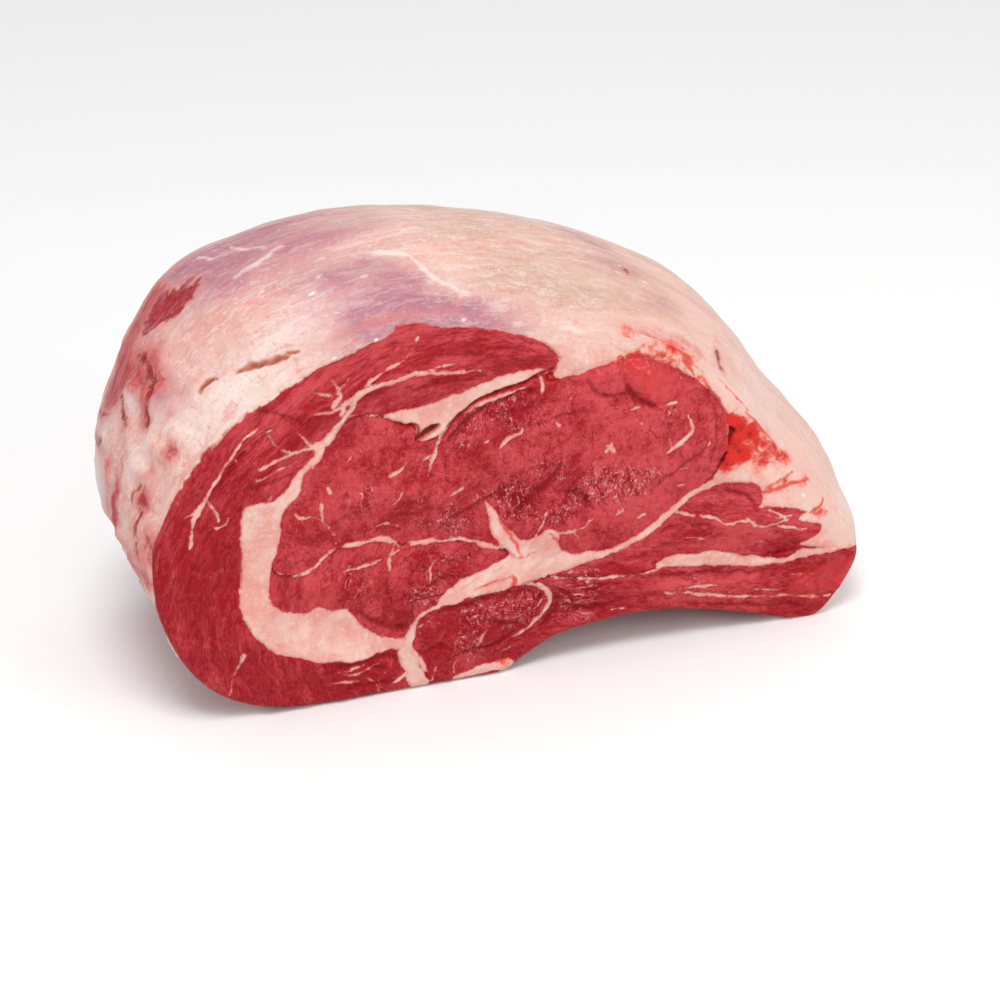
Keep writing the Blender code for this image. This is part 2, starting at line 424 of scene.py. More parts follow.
# Thinner fat, as lines of (x, z, half width)
FAT_LINES = (
    # threads in the knob and in the foot
    ((-38, 24, 0.1), (-35, 26, 0.35), (-33, 24, 0.3), (-32, 22, 0.1)), ((-8, 21.6, 0.1), (-3, 21.4, 0.2),
                                                                        (2, 23, 0.25), (6, 26, 0.1)),
    ((-6, 27.6, 0.2), (-2, 28, 0.4), (2, 27, 0.2)), ((-34, 2, 0.1), (-33, 6, 0.35), (-31, 9, 0.2)),
    ((-26, 4, 0.1), (-25, 8, 0.3), (-23, 11, 0.1)), ((-17, 13, 0.2), (-15.6, 16, 0.35)),
    ((-56, 8, 0.1), (-53, 5, 0.35), (-52, 2, 0.2)), ((-50, 9, 0.1), (-52, 6, 0.3), (-51, 3, 0.1)),
    ((-64, 12, 0.2), (-60, 12.6, 0.35), (-56, 13.4, 0.1)), ((-29, 16, 0.1), (-26, 18, 0.3), (-22, 17.6, 0.1)),
    # foot of the chine
    ((-37, -3, 2.6), (-38.6, 3, 3.4), (-40.6, 8, 2.6), (-41.4, 12, 3.4), (-42.4, 17, 2.8), (-40.6, 22, 1.5),
     (-39, 26, 1), (-36, 29, 0.9), (-32, 30.6, 1.2), (-28, 32, 1.4)),
    ((-35, 5, 0.2), (-36.6, 8, 0.9), (-38.6, 12, 1.2)), ((-47, 4, 0.2), (-44, 6.4, 0.8), (-41, 9, 1)),
    ((-24, 1, 1.6), (-14, 3.5, 2), (-6, 3, 2), (-7, -1, 1.8)),
    ((-97, 25, 0.8), (-101, 18, 0.5), (-103, 11, 0.2)),
    # under the wedge, and its tail
    ((-34, 79, 0.3), (-31.8, 87, 0.8), (-29, 93, 0.9), (-25, 97.2, 0.6), (-19, 101, 0.6),
     (-13.5, 103, 0.9), (-7, 104.3, 0.7), (0, 106.3, 0.5), (4, 108, 0.3)),
    ((4.5, 109, 0.8), (5.5, 105, 0.7), (5, 101.5, 0.2)),
    # the seam along the left
    ((-89, 105, 0.3), (-94, 102, 0.5), (-98, 96, 0.6), (-103, 90, 0.5), (-107, 83, 0.7),
     (-110, 79, 0.9), (-111.5, 74, 0.5), (-113, 67, 0.3)),
    ((-107, 83, 0.4), (-104, 79, 0.4), (-103, 75, 0.2)),
    ((-110, 79, 0.5), (-114, 78, 0.2)),
    # from the chine block up and to the left
    ((-67, 97, 1.6), (-63, 102, 0.9), (-59, 107, 0.9), (-57, 110.5, 1.4), (-52, 113, 0.9),
     (-43, 115, 0.8), (-35, 116, 0.9), (-26, 114.6, 0.6), (-16, 113.8, 0.3)),
    ((-36, 116, 0.5), (-30, 117.4, 0.6), (-24, 117.6, 0.3)),
    ((-58, 110, 0.9), (-64, 107.6, 0.6), (-71, 107, 0.3)),
    ((-54, 113.5, 0.4), (-48, 118.5, 0.5), (-42, 121, 0.5), (-38.5, 124, 0.4), (-36.5, 128.5, 0.2)),
    ((-69, 96, 1.2), (-75, 95.2, 0.7), (-82, 93.4, 0.6), (-89, 90.6, 0.3)),
    ((-78, 94.5, 0.4), (-83, 98, 0.4), (-86, 102, 0.2)),
    ((-70, 93, 0.8), (-74, 98.5, 0.4), (-76, 102, 0.3)),
    ((-60, 105, 0.5), (-55, 104.5, 0.4), (-50, 103.2, 0.5)),
    ((-72, 89, 0.5), (-80, 90.5, 0.4), (-90, 87, 0.3)),
    # inside the chine muscle
    ((-69, 79, 0.3), (-69.3, 74, 0.5), (-69, 70, 0.5), (-66.5, 65.5, 0.4), (-64, 61, 0.3)),
    ((-78.5, 73.4, 0.4), (-76, 71.6, 0.4), (-72, 71, 0.4), (-69, 69.5, 0.4)),
    ((-67.5, 81, 0.5), (-66.3, 79, 0.5)),
    ((-57, 92.8, 0.4), (-55, 91, 0.5)),
    ((-52, 64.4, 0.4), (-48, 64.6, 0.5), (-44.5, 63.5, 0.3)),
    ((-47.5, 81, 0.4), (-44, 82.4, 0.5), (-40.5, 85.4, 0.4)),
    ((-37, 80, 0.3), (-36, 84, 0.3), (-33.5, 86.5, 0.3)),
    # the chine seam
    ((-85, 53, 0.3), (-79, 51, 0.3), (-73, 53, 0.5), (-69, 56.6, 0.6), (-64, 58.3, 0.6), (-57, 59.3, 0.8),
     (-50, 59.5, 0.9), (-46.5, 58.4, 0.7), (-44, 56, 0.4)),
    ((-40, 55.5, 0.8), (-35, 55.8, 1.1), (-29, 55.2, 0.8), (-23, 54.5, 0.7), (-18, 52.6, 0.9),
     (-13, 50, 1), (-7, 48.5, 1.2)),
    ((-46, 57, 0.6), (-47.6, 52, 0.4), (-47, 47.5, 0.3)),
    ((-44, 54.5, 0.4), (-50, 52.3, 0.4), (-56, 50.3, 0.4), (-63, 49.4, 0.3)),
    ((-44, 56.3, 0.5), (-40, 56.6, 0.5)),
    # off the knot
    ((11, 50.5, 0.9), (16, 50.4, 0.7), (20, 51.2, 0.6), (23, 53.4, 0.6), (25.6, 55.4, 0.3)),
    ((16, 50.5, 0.4), (18.5, 48, 0.3), (20, 45.5, 0.3)),
    # in the wedges on the right
    ((54, 51, 0.4), (58, 49.5, 0.5), (63, 48.2, 0.5), (68, 46.2, 0.5), (72, 44, 0.5),
     (78, 43, 0.5), (83, 42, 0.3)),
    ((80, 43, 0.4), (84, 40.5, 0.5), (90, 40, 0.5), (96, 41, 0.5)),
    ((88, 44, 0.5), (92, 42.4, 0.4), (97, 42.6, 0.5)),
    # in the rib strip
    ((9, 34.6, 0.5), (14, 33, 0.5), (20, 31.8, 0.6), (30, 30.6, 0.5), (38, 29.8, 0.5),
     (47, 30, 0.6)),
    ((51, 20.8, 0.4), (60, 18.6, 0.6), (72, 15.6, 0.5), (85, 12.6, 0.5), (95, 11, 0.4),
     (105, 9.2, 0.4), (115, 7.6, 0.3)),
    ((56, 21.4, 0.3), (63, 21, 0.4), (70, 20, 0.3)),
    ((84, 15.6, 0.3), (92, 14.2, 0.4), (103, 13, 0.3)),
    # round the rib knob
    ((-3, 34, 0.9), (3, 33, 0.8), (7, 30, 0.9), (8.8, 26, 0.9), (7.5, 22.5, 0.8), (3.5, 18.5, 0.8),
     (-1, 15.6, 0.6), (-6, 13.2, 0.3)),
    # in the eye muscle
    ((-9.5, 85.3, 0.5), (-7.8, 87.2, 0.8), (-4.5, 88.8, 0.8), (-2.2, 89.3, 0.6), (-1.8, 91.5, 0.3)),
    ((49.5, 73.6, 0.4), (53, 76.4, 0.9), (56, 78.4, 1), (58.4, 80.8, 0.6), (58, 84, 0.5),
     (57, 86.6, 0.3)),
    ((15, 99, 0.3), (16, 100.8, 0.4), (18.4, 102.6, 0.3)),
    ((27.8, 78, 0.5), (29.4, 79.8, 1), (29.8, 81.4, 0.4)),
    ((21.6, 77, 0.3), (22.6, 77.4, 0.6)),
    ((55, 67, 0.4), (57, 67.4, 0.5)),
    ((54, 60.5, 0.4), (56.5, 61.4, 0.5)),
    ((32, 54.6, 0.4), (34, 55.6, 0.5), (33.4, 57.4, 0.3)),
    ((40, 52, 0.4), (42.4, 52.4, 0.5)),
    ((-15, 88, 0.3), (-13.4, 88.6, 0.4)),
    ((10, 91.6, 0.3), (11, 90.6, 0.4)),
    ((-26, 71, 0.3), (-22, 73.6, 0.3)),
    ((38, 88, 0.3), (40, 86, 0.3)),
    ((6.6, 64, 0.15), (7, 60, 0.35), (5.4, 55.5, 0.6), (3, 51, 0.6)),
    ((64.4, 77.4, 0.15), (65.2, 75.4, 0.35), (64, 73.4, 0.2)),
    ((49, 80, 0.15), (50.4, 79, 0.35), (50.6, 76.6, 0.2)), ((27.4, 80.6, 0.3), (29, 79.4, 0.8), (31, 77, 0.4)),
    ((31, 58, 0.15), (33, 55.8, 0.4), (35.4, 55, 0.2)), ((36, 91.8, 0.1), (39, 92.6, 0.3), (41, 92, 0.1)),
    ((46.6, 91, 0.4), (49, 91.6, 0.6), (52.4, 92.6, 0.3)), ((40.6, 98.4, 0.5), (41.8, 99.6, 0.4), (42, 101.4, 0.2)),
    ((-64.5, 109, 0.8), (-62, 112, 0.6), (-63, 115.5, 0.5), (-64.4, 118, 0.3)),
    ((-63, 113, 0.5), (-60, 116, 0.3), (-58.6, 118.6, 0.2)), ((-71, 114.6, 0.2), (-68, 113.6, 0.5), (-65, 112.4, 0.5)),
    ((-62, 106, 0.9), (-61, 109, 1.1), (-57, 111, 0.9)), ((-97.6, 96.4, 0.3), (-96, 94.6, 0.5), (-94.6, 92.4, 0.2)),
    ((-107, 75.6, 0.2), (-104, 73, 0.4), (-101, 73.4, 0.3), (-99.6, 75.6, 0.2)),
    ((-91, 100.6, 0.1), (-88, 102.4, 0.3), (-84.6, 104.4, 0.2)), ((-46, 71, 0.1), (-43.6, 72.6, 0.3), (-42.6, 75, 0.1)),
    ((-62, 87, 0.1), (-60, 89, 0.3), (-58, 92, 0.1)), ((-32, 103.5, 0.1), (-38, 101.6, 0.25), (-44, 101.2, 0.2)),
    ((-34, 44.4, 0.1), (-32, 47.6, 0.35), (-30.6, 49.4, 0.5), (-27.6, 50.4, 0.3)), ((-34, 38, 0.1), (-33, 41.6, 0.4), (-33.6, 45, 0.2)),
    ((-60, 30, 0.4), (-61.4, 33, 0.7), (-62, 36, 0.6)), ((-66, 11.6, 0.1), (-60, 10.4, 0.4), (-52, 12.8, 0.2)),
    ((-70, 8, 0.1), (-64, 8, 0.35), (-58, 7, 0.1)), ((-13, 27, 0.1), (-9, 26, 0.3), (-5, 27, 0.1)),
    ((-18, 15, 0.1), (-15, 17, 0.35), (-13, 20, 0.1)), ((-8, 9, 0.1), (-4, 10.4, 0.35), (-1, 12, 0.1)),
    ((56, 40.6, 0.1), (62, 40, 0.25), (68, 38, 0.1)), ((88, 46, 0.2), (91, 44.6, 0.6), (94, 42.4, 0.8), (95.4, 40, 0.4)),
    ((92, 38.6, 0.2), (96, 37.6, 0.5), (100, 36.4, 0.6), (103, 36.6, 0.3)), ((84, 36, 0.1), (88, 36, 0.3), (91, 37.6, 0.2)),
    ((98, 19.4, 0.1), (104, 18, 0.3), (108, 17.6, 0.1)), 
    ((28, 16, 0.1), (32, 17.6, 0.3), (36, 17.4, 0.1)),
)

# Slits, sunk into the face and filled with painted shade, as lines of (x, z, half width)
SLITS = (
    ((-29, 92, 0.1), (-26, 96, 0.3), (-20, 101.4, 0.35), (-14, 104.4, 0.4), (-8, 105.8, 0.45),
     (0, 108, 0.4), (6, 110.4, 0.4), (9.5, 111, 0.2)),
    ((-37.5, 92.6, 0.4), (-35, 94.6, 0.9), (-32.4, 96.2, 1.1), (-31, 97, 0.5)),
    ((-37.4, 93, 0.3), (-36.8, 96.5, 0.2), (-39, 98.6, 0.15), (-43, 98.8, 0.1)),
    ((8, 110, 0.3), (7, 107.6, 0.25), (10, 106.6, 0.15)),
    ((72.4, 79.6, 0.2), (73.4, 77.6, 0.9), (73, 75, 0.5), (72.6, 73, 0.2)),
    ((68.4, 65.6, 0.1), (70, 67.6, 0.5), (71.6, 70.4, 0.2)),
    ((91, 28, 0.2), (94, 27.6, 0.4), (97, 28.4, 0.2)),
)

# Folds where the lean lies deeper, with painted shade in them, as lines of (x, z, half width)
FOLDS = (
    ((34, 101.5, 0.3), (36.5, 98, 1.2), (39.5, 95, 1.8), (43.5, 92, 0.7), (47, 90, 0.2)),
    ((-30, 60, 0.2), (-22, 64, 0.8), (-12, 68.5, 0.5), (-6, 71, 0.2)),
    ((-4, 61, 0.5), (2, 66, 1.4), (7, 70, 1.5), (11, 74.5, 1), (12, 78, 0.3)),
    ((12, 66, 0.4), (18, 64, 1.2), (22, 60, 0.8), (24, 57, 0.3)),
    ((4, 79, 0.1), (10, 82, 0.25), (16, 86, 0.1)),
    ((-26, 91, 0.8), (-22, 95.5, 1.1), (-16, 99.6, 0.8), (-9, 102, 0.7), (-1, 104.5, 0.7), (4, 103, 0.4)),
    ((-20, 99, 0.1), (-10, 97.5, 0.3), (0, 98, 0.15), (10, 99, 0.1)),
    ((-6, 92.5, 0.1), (4, 92, 0.2), (14, 94, 0.25), (24, 93, 0.1)),
    ((6, 74, 0.1), (12, 80, 0.3), (10, 88, 0.1)),
    ((44, 60, 0.1), (50, 65, 0.35), (58, 70, 0.3), (66, 76, 0.1)),
    ((64, 92, 0.1), (67.4, 84, 0.2), (67.6, 76, 0.25), (65, 68, 0.1)),
    ((21, 104, 0.2), (24, 99.5, 0.6), (28, 97.8, 0.5), (34, 98, 0.3)),
    ((-52, 62, 0.2), (-44, 67, 0.5), (-36, 66, 0.3)),
    ((-56, 48, 0.2), (-57.5, 45, 0.7), (-57, 42, 0.2)),
    ((-48, 45, 0.2), (-49, 42, 0.6), (-48, 39, 0.2)),
    ((-58, 34, 0.3), (-52, 28.5, 1), (-46, 25.5, 0.8), (-41, 24.5, 0.3)),
    ((-74, 15.4, 0.2), (-66, 14.6, 0.7), (-58, 13.6, 0.8), (-50, 15.6, 0.8), (-45.4, 13, 0.7), (-45, 8, 0.4)),
    ((-20, 40, 0.2), (-30, 40.5, 0.7), (-38, 37, 0.3)),
    ((-33, 28, 0.3), (-24, 29.4, 0.9), (-12, 30.6, 0.9), (-2, 31, 0.8), (4, 29, 0.6), (6.4, 25, 0.4)),
    ((-16, 22, 0.2), (-8, 20, 0.8), (-2, 19, 0.4)),
    ((8, 31, 0.3), (11, 26, 1.4), (9.5, 20, 1.2), (5, 15.5, 0.8)),
    ((12, 24, 0.3), (18, 21, 1.2), (26, 20, 0.9), (34, 21, 0.3)),
    ((16, 27, 0.2), (24, 26, 0.7), (31, 24, 0.3)),
    ((40, 28.6, 0.2), (50, 27.5, 0.7), (64, 25.6, 0.6), (80, 23.2, 0.5), (92, 22, 0.2)),
    ((46, 33, 0.3), (49, 31.6, 0.9), (52, 31.4, 0.3)),
    ((76, 30.5, 0.2), (81, 28.6, 0.9), (86, 28.5, 0.8), (92, 28.4, 1.2), (99, 29, 0.5)),
    ((60, 14, 0.2), (76, 11, 0.5), (92, 7.4, 0.4), (104, 5.6, 0.2)),
    ((-70, 12, 0.3), (-60, 13.5, 0.8), (-50, 11, 0.5)), ((-64, 5, 0.2), (-54, 5.5, 0.6), (-46, 5, 0.2)),
    ((-90, 112, 0.1), (-80, 108, 0.35), (-72, 103, 0.2)), ((-106, 84, 0.1), (-100, 90, 0.4), (-94, 98, 0.2)),
    ((-96, 84, 0.1), (-86, 86, 0.4), (-76, 88, 0.2)), ((-40, 110, 0.1), (-28, 111.6, 0.4), (-14, 111.6, 0.3)),
    ((-66, 114, 0.1), (-56, 119, 0.35), (-46, 124, 0.2)), ((-34, 121, 0.1), (-20, 120, 0.35), (-6, 117, 0.2)),
    ((-9.5, 49, 0.2), (-5.6, 44.6, 0.7), (-4.4, 39, 0.3)), ((3.4, 49, 0.1), (1.2, 45, 0.6), (2, 40.6, 0.2)),
    ((-22, 35.4, 0.1), (-15, 38.6, 0.4), (-9, 40, 0.2)), ((12, 43, 0.2), (7, 41.6, 0.5), (2, 38, 0.2)),
    ((7, 31, 0.2), (13, 27.6, 0.8), (17, 23.4, 0.7), (17, 19, 0.2)), ((20, 27.4, 0.2), (26, 28.4, 0.7), (33, 27, 0.2)),
    ((-27, 10, 0.2), (-19, 12, 0.8), (-10, 12.6, 0.7), (-4, 16, 0.2)), ((-36, 14, 0.2), (-30, 15.4, 0.7), (-25, 13, 0.2)),
    ((72, 56.5, 0.2), (80, 52, 0.6), (84, 46, 0.3)), ((48, 45, 0.2), (60, 45.6, 0.5), (70, 42, 0.2)),
)

# Smooth wet lobes that stand out of the lean, as closed outlines
LOBES = (
    ((34, 110.4), (41, 109.6), (48, 105.6), (53.6, 100.6), (55, 96.6), (51, 93.6), (45, 92.6), (40, 95),
     (36.4, 99), (34, 104)),
    ((15, 107), (20, 108.4), (27, 109.4), (33, 109.8), (33.6, 105), (30, 103.4), (22, 103.6), (16.5, 105)),
)

# Thin stains of blood, as lines of (x, z, half width)
STAINS = (
    ((33, 126, 0.2), (35, 122, 0.5), (37.5, 119.5, 0.3)), ((42, 124, 0.1), (43, 122, 0.3), (44.5, 121, 0.1)),
    ((46, 117, 0.2), (51.5, 112, 0.8), (56, 106, 0.7), (59, 101.5, 0.2)),
    ((85, 53.2, 0.2), (91, 53.8, 0.5), (97, 54.8, 0.6), (103, 54.4, 0.2)),
    ((88, 55, 0.1), (93, 57, 0.3), (96, 59, 0.1)), ((104, 42, 0.2), (107.5, 44, 0.5), (109, 46, 0.2)),
    ((-5, 33, 0.3), (-4.4, 35.4, 0.8), (-4.8, 38, 0.2)), ((98, 39.5, 0.1), (101, 36, 0.3), (104, 34.5, 0.1)),
    ((61, 100, 0.2), (66, 93, 0.4), (69.5, 86, 0.5), (71, 82, 0.3)), ((-7, 46, 0.1), (-2, 44, 0.25), (3, 45, 0.1)),
    ((-10, 60, 0.1), (-7.5, 55.5, 0.35), (-4, 49.5, 0.3), (-2, 44.5, 0.1)),
    ((8, 51.5, 0.1), (11, 47.5, 0.3), (12.4, 44.5, 0.2)), ((-20, 34.5, 0.1), (-12, 36.5, 0.2), (-5, 37, 0.1)),
    ((78, 84, 0.1), (84, 77, 0.3), (89, 71, 0.1)), ((66, 100, 0.1), (74, 91, 0.25), (79, 84, 0.1)),
)

# Fresh blood on a cut face: (x, z, radius, strength)
BLOOD = (
    (118, 17, 7, 0.9), (110, 15, 7, 0.8), (100, 13, 6, 0.6),
    (38, 121, 2.5, 0.35), (48, 115, 2.5, 0.3), (60, 100, 3, 0.35), (66, 92, 2.5, 0.4),
    (37, 108, 5, 1), (44, 104, 6, 0.8), (40, 99, 5, 0.5), (50, 101, 4, 0.4),
    (71, 84, 3, 0.7), (75, 80, 4, 0.9), (74, 73, 4, 0.9), (78, 68.5, 3.5, 0.8), (83, 73, 4, 0.7),
    (71, 67, 3, 1), (88, 68, 3.5, 0.5), (85, 64.5, 3, 0.5), (94, 65, 3, 0.55), (80, 77, 3, 0.7),
    (35, 121, 3, 0.6), (51, 112, 3, 0.5), (57, 106, 2.5, 0.6),
    (88, 53.5, 2, 0.5), (94, 55, 2.5, 0.5), (101, 54, 2, 0.5),
    (108, 42, 2.5, 0.4), (-10, 5, 5, 0.3),
)

# ---------------------------------------------------------------- what shows on the outside

# Bare lean where the fat is torn or trimmed away, as closed outlines (round, deep)
BARE_LEAN = (
    ((511, 34.6), (515, 31.5), (519, 29.5), (524, 31.5), (530, 35), (529, 38), (524, 40.5), (520, 41.5),
     (517, 38)),
)
# Streaks of lean and blood, as lines (round, deep, half width)
RED_STREAKS = (
    ((535, 34, 0.4), (534, 29, 0.8), (535, 24, 1), (537, 21.4, 1.2), (541, 19.6, 0.9), (547, 18.4, 0.6)),
    ((560, 35, 0.5), (562, 40, 0.9), (565, 48, 0.7), (567, 58, 0.2)),
    ((553, 35, 0.1), (555, 42, 0.4), (557, 50, 0.2)),
    ((547, 33, 0.2), (549, 28, 0.5), (550, 25, 0.2)),
    ((570, 9.2, 0.2), (576, 8, 0.6), (583, 6.6, 0.4)),
    ((350.5, 4, 0.3), (352, 6, 0.8), (354, 7.6, 0.4)),
    ((388, 21, 0.1), (389, 23, 0.3)),
    ((556, 56, 0.2), (559, 62, 1), (557, 70, 1.6), (561, 77, 0.8), (558, 84, 0.2)), ((561, 66, 0.2), (566, 73, 0.8)),
    ((600, 28, 0.2), (604, 36, 1.2), (601, 46, 1.9), (605, 55, 1.2), (602, 64, 1.7), (606, 74, 0.3)),
    ((609, 34, 0.2), (611, 44, 0.8), (608, 52, 0.3)), ((594, 58, 0.2), (592, 68, 0.9), (596, 78, 0.3)),
)
# Creases where the fat folds, sunk in and painted with shadow: lines (round, deep, half width)
CREASES = (
    ((500, 3, 0.1), (503, 3.5, 0.3), (507, 4.3, 0.4), (511, 5.2, 0.5), (515, 6.2, 0.4), (519, 6.8, 0.1)),
    ((523.5, 8.4, 0.1), (526, 9.1, 0.3), (529.5, 9.6, 0.1)), ((563, 12.6, 0.1), (566, 14, 0.2), (570, 14, 0.1)),
    ((470, 74, 0.3), (482, 70, 0.8), (495, 71, 0.3)), ((400, 68, 0.3), (415, 72, 0.7), (427, 70, 0.3)),
)
# Pale torn edges of the skin: lines (round, deep, half width)
PALE_EDGES = (
    ((470, 20, 0.3), (465, 18.6, 0.5), (461, 16, 0.4), (458, 12.6, 0.6), (455, 9.4, 0.4),
     (449, 7, 0.4), (444, 6, 0.2)),
    ((490, 31, 0.3), (496, 29, 0.4), (503, 27.4, 0.3)),
    ((494, 34, 0.2), (498, 38, 0.4), (500, 42, 0.2)),
    ((505, 39, 0.2), (507, 41.6, 0.4), (508, 44, 0.2)),
)
# Soft patches: (round, deep, reach round, reach deep, strength)
RAW = (
    (521, 47, 4, 7, 0.9), (528, 46, 6, 7, 0.7), (537, 45, 7, 9, 1), (546, 38, 6, 6, 1.1), (541, 30, 3, 6, 0.4),
    (536, 24, 4, 7, 1.1), (550, 46, 6, 8, 0.8), (541, 40, 4, 8, 0.6), (530, 26, 5, 3, 0.4), (525, 42, 7, 3, 0.7),
    (587, 16, 3, 4, 0.8), (575, 22, 9, 2.2, 1.2), (567, 28, 7, 2.5, 0.6), (566, 9.4, 4, 2.6, 1.3), (543, 20, 6, 2.2, 0.9),
    (535, 27, 2.2, 6, 1), (549, 7, 4.4, 1.6, 0.95), (578, 3, 6, 3, 0.95), (563, 43, 2.4, 9, 1),
    (556, 11, 3, 1.2, 0.5), (552, 25, 3, 2, 0.55), (541, 12, 4, 1.2, 0.35), (571, 17, 4, 1.4, 0.4),
    (583, 12, 3, 6, 0.5), (590, 8, 5, 8, 0.8), (588, 24, 3, 8, 0.4), (560, 20, 4, 1.5, 0.35),
    (556, 72, 8, 10, 0.6), (512, 68, 8, 5, 0.6), (602, 50, 9, 18, 0.6), (584, 60, 4, 12, 0.5),
    (540, 62, 12, 6, 0.5), (470, 1, 30, 1.4, 0.5), (480, 90, 50, 3, 0.4), (380, 2, 12, 1.6, 0.6),
    (372, 4, 7, 1.2, 0.35), (354, 12, 3, 1.4, 0.3), (362, 3.4, 5, 1.5, 0.3), (620, 70, 8, 14, 0.6),
)
SILVERSKIN = (
    (505, 33, 14, 8, 0.7), (488, 22, 10, 5, 0.4), (464, 7, 8, 5, 0.9), (476, 8, 9, 6, 1), (472, 13, 8, 5, 0.9), (484, 16, 10, 4, 0.7), (490, 9, 8, 5, 0.3),
    (478, 30, 14, 6, 0.8), (494, 34, 12, 7, 0.75), (506, 27, 9, 5, 0.45), (500, 42, 14, 8, 0.7),
    (516, 46, 9, 8, 0.5), (484, 46, 16, 7, 0.6), (470, 38, 8, 5, 0.45), (448, 3, 14, 3, 0.5),
    (470, 1, 20, 4, 0.9), (450, 0, 16, 3, 0.8), (430, -1, 12, 3, 0.4), (540, 22, 5, 6, 0.8), (534, 28, 5, 6, 0.8),
    (395, 34, 7, 3, 0.7), (403, 38, 7, 3, 0.5), (392, 24, 10, 5, 0.4), (377, 14, 7, 4, 0.3),
    (537, 16, 5, 4, 0.7), (545, 39, 8, 6, 0.8), (530, 48, 12, 8, 0.5), (550, 36, 4, 7, 0.6), (470, 60, 22, 9, 0.6),
    (420, 62, 20, 8, 0.4), (520, 66, 16, 10, 0.5), (576, 34, 8, 7, 0.35), (570, 52, 10, 8, 0.5),
    (444, 80, 30, 7, 0.45), (505, 82, 20, 7, 0.4), (360, 66, 20, 10, 0.25), (595, 14, 8, 10, 0.3),
)
PINK = (
    (467, 8, 8, 4, 0.55), (480, 6, 7, 4, 0.3), (535, 12, 40, 8, 0.3), (510, 22, 24, 10, 0.4), (532, 33, 16, 8, 0.5),
    (500, 45, 26, 10, 0.3), (562, 12, 12, 8, 0.35), (556, 40, 14, 12, 0.5), (575, 30, 10, 10, 0.4),
    (560, 26, 9, 6, 0.8), (570, 28, 9, 6, 0.9), (583, 24, 6, 9, 0.9), (577, 14, 8, 5, 0.6),
    (553, 8, 8, 4, 0.6), (566, 9, 7, 4, 1), (548, 20, 6, 4, 0.5), (520, 21, 14, 5, 0.35),
    (508, 12, 16, 5, 0.35), (528, 36, 7, 7, 0.9), (520, 46, 8, 8, 0.9), (536, 44, 9, 10, 0.9),
    (552, 45, 8, 8, 0.6), (575, 6, 9, 5, 0.8), (505, 22, 14, 5, 0.4), (540, 60, 16, 12, 0.5),
    (585, 50, 9, 16, 0.6), (600, 20, 8, 14, 0.8), (352, 9, 6, 8, 0.3), (380, 2, 16, 3, 0.7),
    (300, 2, 30, 3, 0.3), (278, 18, 9, 7, 0.35), (250, 20, 9, 20, 0.6), (460, 88, 60, 6, 0.3),
    (610, 60, 12, 24, 0.7), (470, 2, 40, 2.5, 0.5), (565, 38, 4, 10, 0.7), (514, 34, 8, 4, 0.6),
    (534, 26, 5, 6, 0.6), (440, 20, 14, 5, 0.3), (496, 24, 8, 4, 0.4),
)
TAN = (
    (400, 14, 24, 10, 0.9), (425, 22, 26, 14, 0.8), (445, 30, 16, 10, 0.5), (395, 26, 16, 8, 0.9),
    (375, 18, 10, 8, 0.6), (430, 42, 20, 8, 0.35), (440, 12, 18, 6, 0.6), (380, 60, 30, 14, 0.4),
    (500, 60, 20, 6, 0.2), (340, 74, 40, 12, 0.3), (420, 5, 24, 4, 0.5),
)
WHITE = (
    (520, 4, 20, 5, 0.9), (540, 8, 12, 5, 0.9), (533, 22, 7, 5, 0.5), (515, 26, 10, 4, 0.5),
    (545, 27, 6, 5, 0.8), (556, 31, 7, 5, 0.7), (560, 15, 5, 4, 0.9), (577, 18, 6, 4, 0.5),
    (584, 10, 6, 5, 0.6), (500, 6, 16, 4, 0.4), (550, 14, 9, 4, 0.7), (562, 52, 12, 10, 0.4),
    (270, 10, 10, 10, 0.4), (330, 12, 16, 20, 0.25), (596, 40, 5, 20, 0.5), (574, 44, 8, 9, 0.6),
    (450, 28, 14, 5, 0.3), (415, 46, 14, 5, 0.4),
)
# Lumps of fat that stand out: (round, deep, reach round, reach deep, height)
LUMPS = (
    (548, 50, 9, 16, -1.6), (577, 8, 4, 4, 0.8), (570, 3, 4, 2, 0.7), (503, 7, 6, 1.8, 0.6), (556, 16, 3, 3, 0.8), (582, 20, 3, 4, 0.8),
    (514, 53, 15, 20, 4.6), (490, 52, 22, 20, 2.4), (511, 7.4, 9, 1.6, 0.8), (566, 19, 3, 2, 0.7), (553, 22, 3, 3, 0.8), (571, 27, 4, 2, 0.7),
    (585, 4, 3, 3, 0.9), (558, 8, 3, 2, 0.6), (548, 32, 2, 3, 0.6), (580, 38, 4, 4, 0.8), (562, 34, 3, 3, -0.6),
    (510, 9, 8, 3, 0.8), (507, 1.5, 6, 1.5, -0.5), (520, 3.5, 10, 3, 0.7), (536, 6, 8, 4, 0.9),
    (550, 14, 7, 3, 0.7), (541, 27, 5, 4, 1), (556, 31, 6, 4, 0.8), (560, 15, 4, 4, 1.1),
    (567, 4, 5, 2, -0.8), (577, 12, 5, 3, 1.2), (586, 12, 4, 5, 1.2), (572, 18, 6, 3, 0.9),
    (580, 29, 5, 6, 0.8), (590, 22, 3, 8, -0.8), (528, 26, 6, 4, 0.6), (515, 26, 8, 4, 0.4),
    (520, 36, 6, 5, -0.9), (538, 22, 4, 4, -0.7), (547, 36, 5, 6, -0.6), (395, 32, 10, 5, -0.6),
    (460, 24, 12, 6, 0.4), (420, 30, 20, 8, 0.4), (352, 12, 10, 8, 0.3), (575, 44, 8, 8, 1),
    (556, 54, 8, 6, 0.9), (530, 60, 10, 7, 0.6), (490, 62, 16, 8, 0.6), (450, 70, 18, 8, -0.5),
)


def soft_patches(points, patches):
    """The sum of soft oval patches, held between 0 and 1."""
    total = np.zeros(len(points))
    for x, y, across, along, strength in patches:
        total += strength * np.exp(-((points[:, 0] - x) / across) ** 2
                                   - ((points[:, 1] - y) / along) ** 2)
    return total

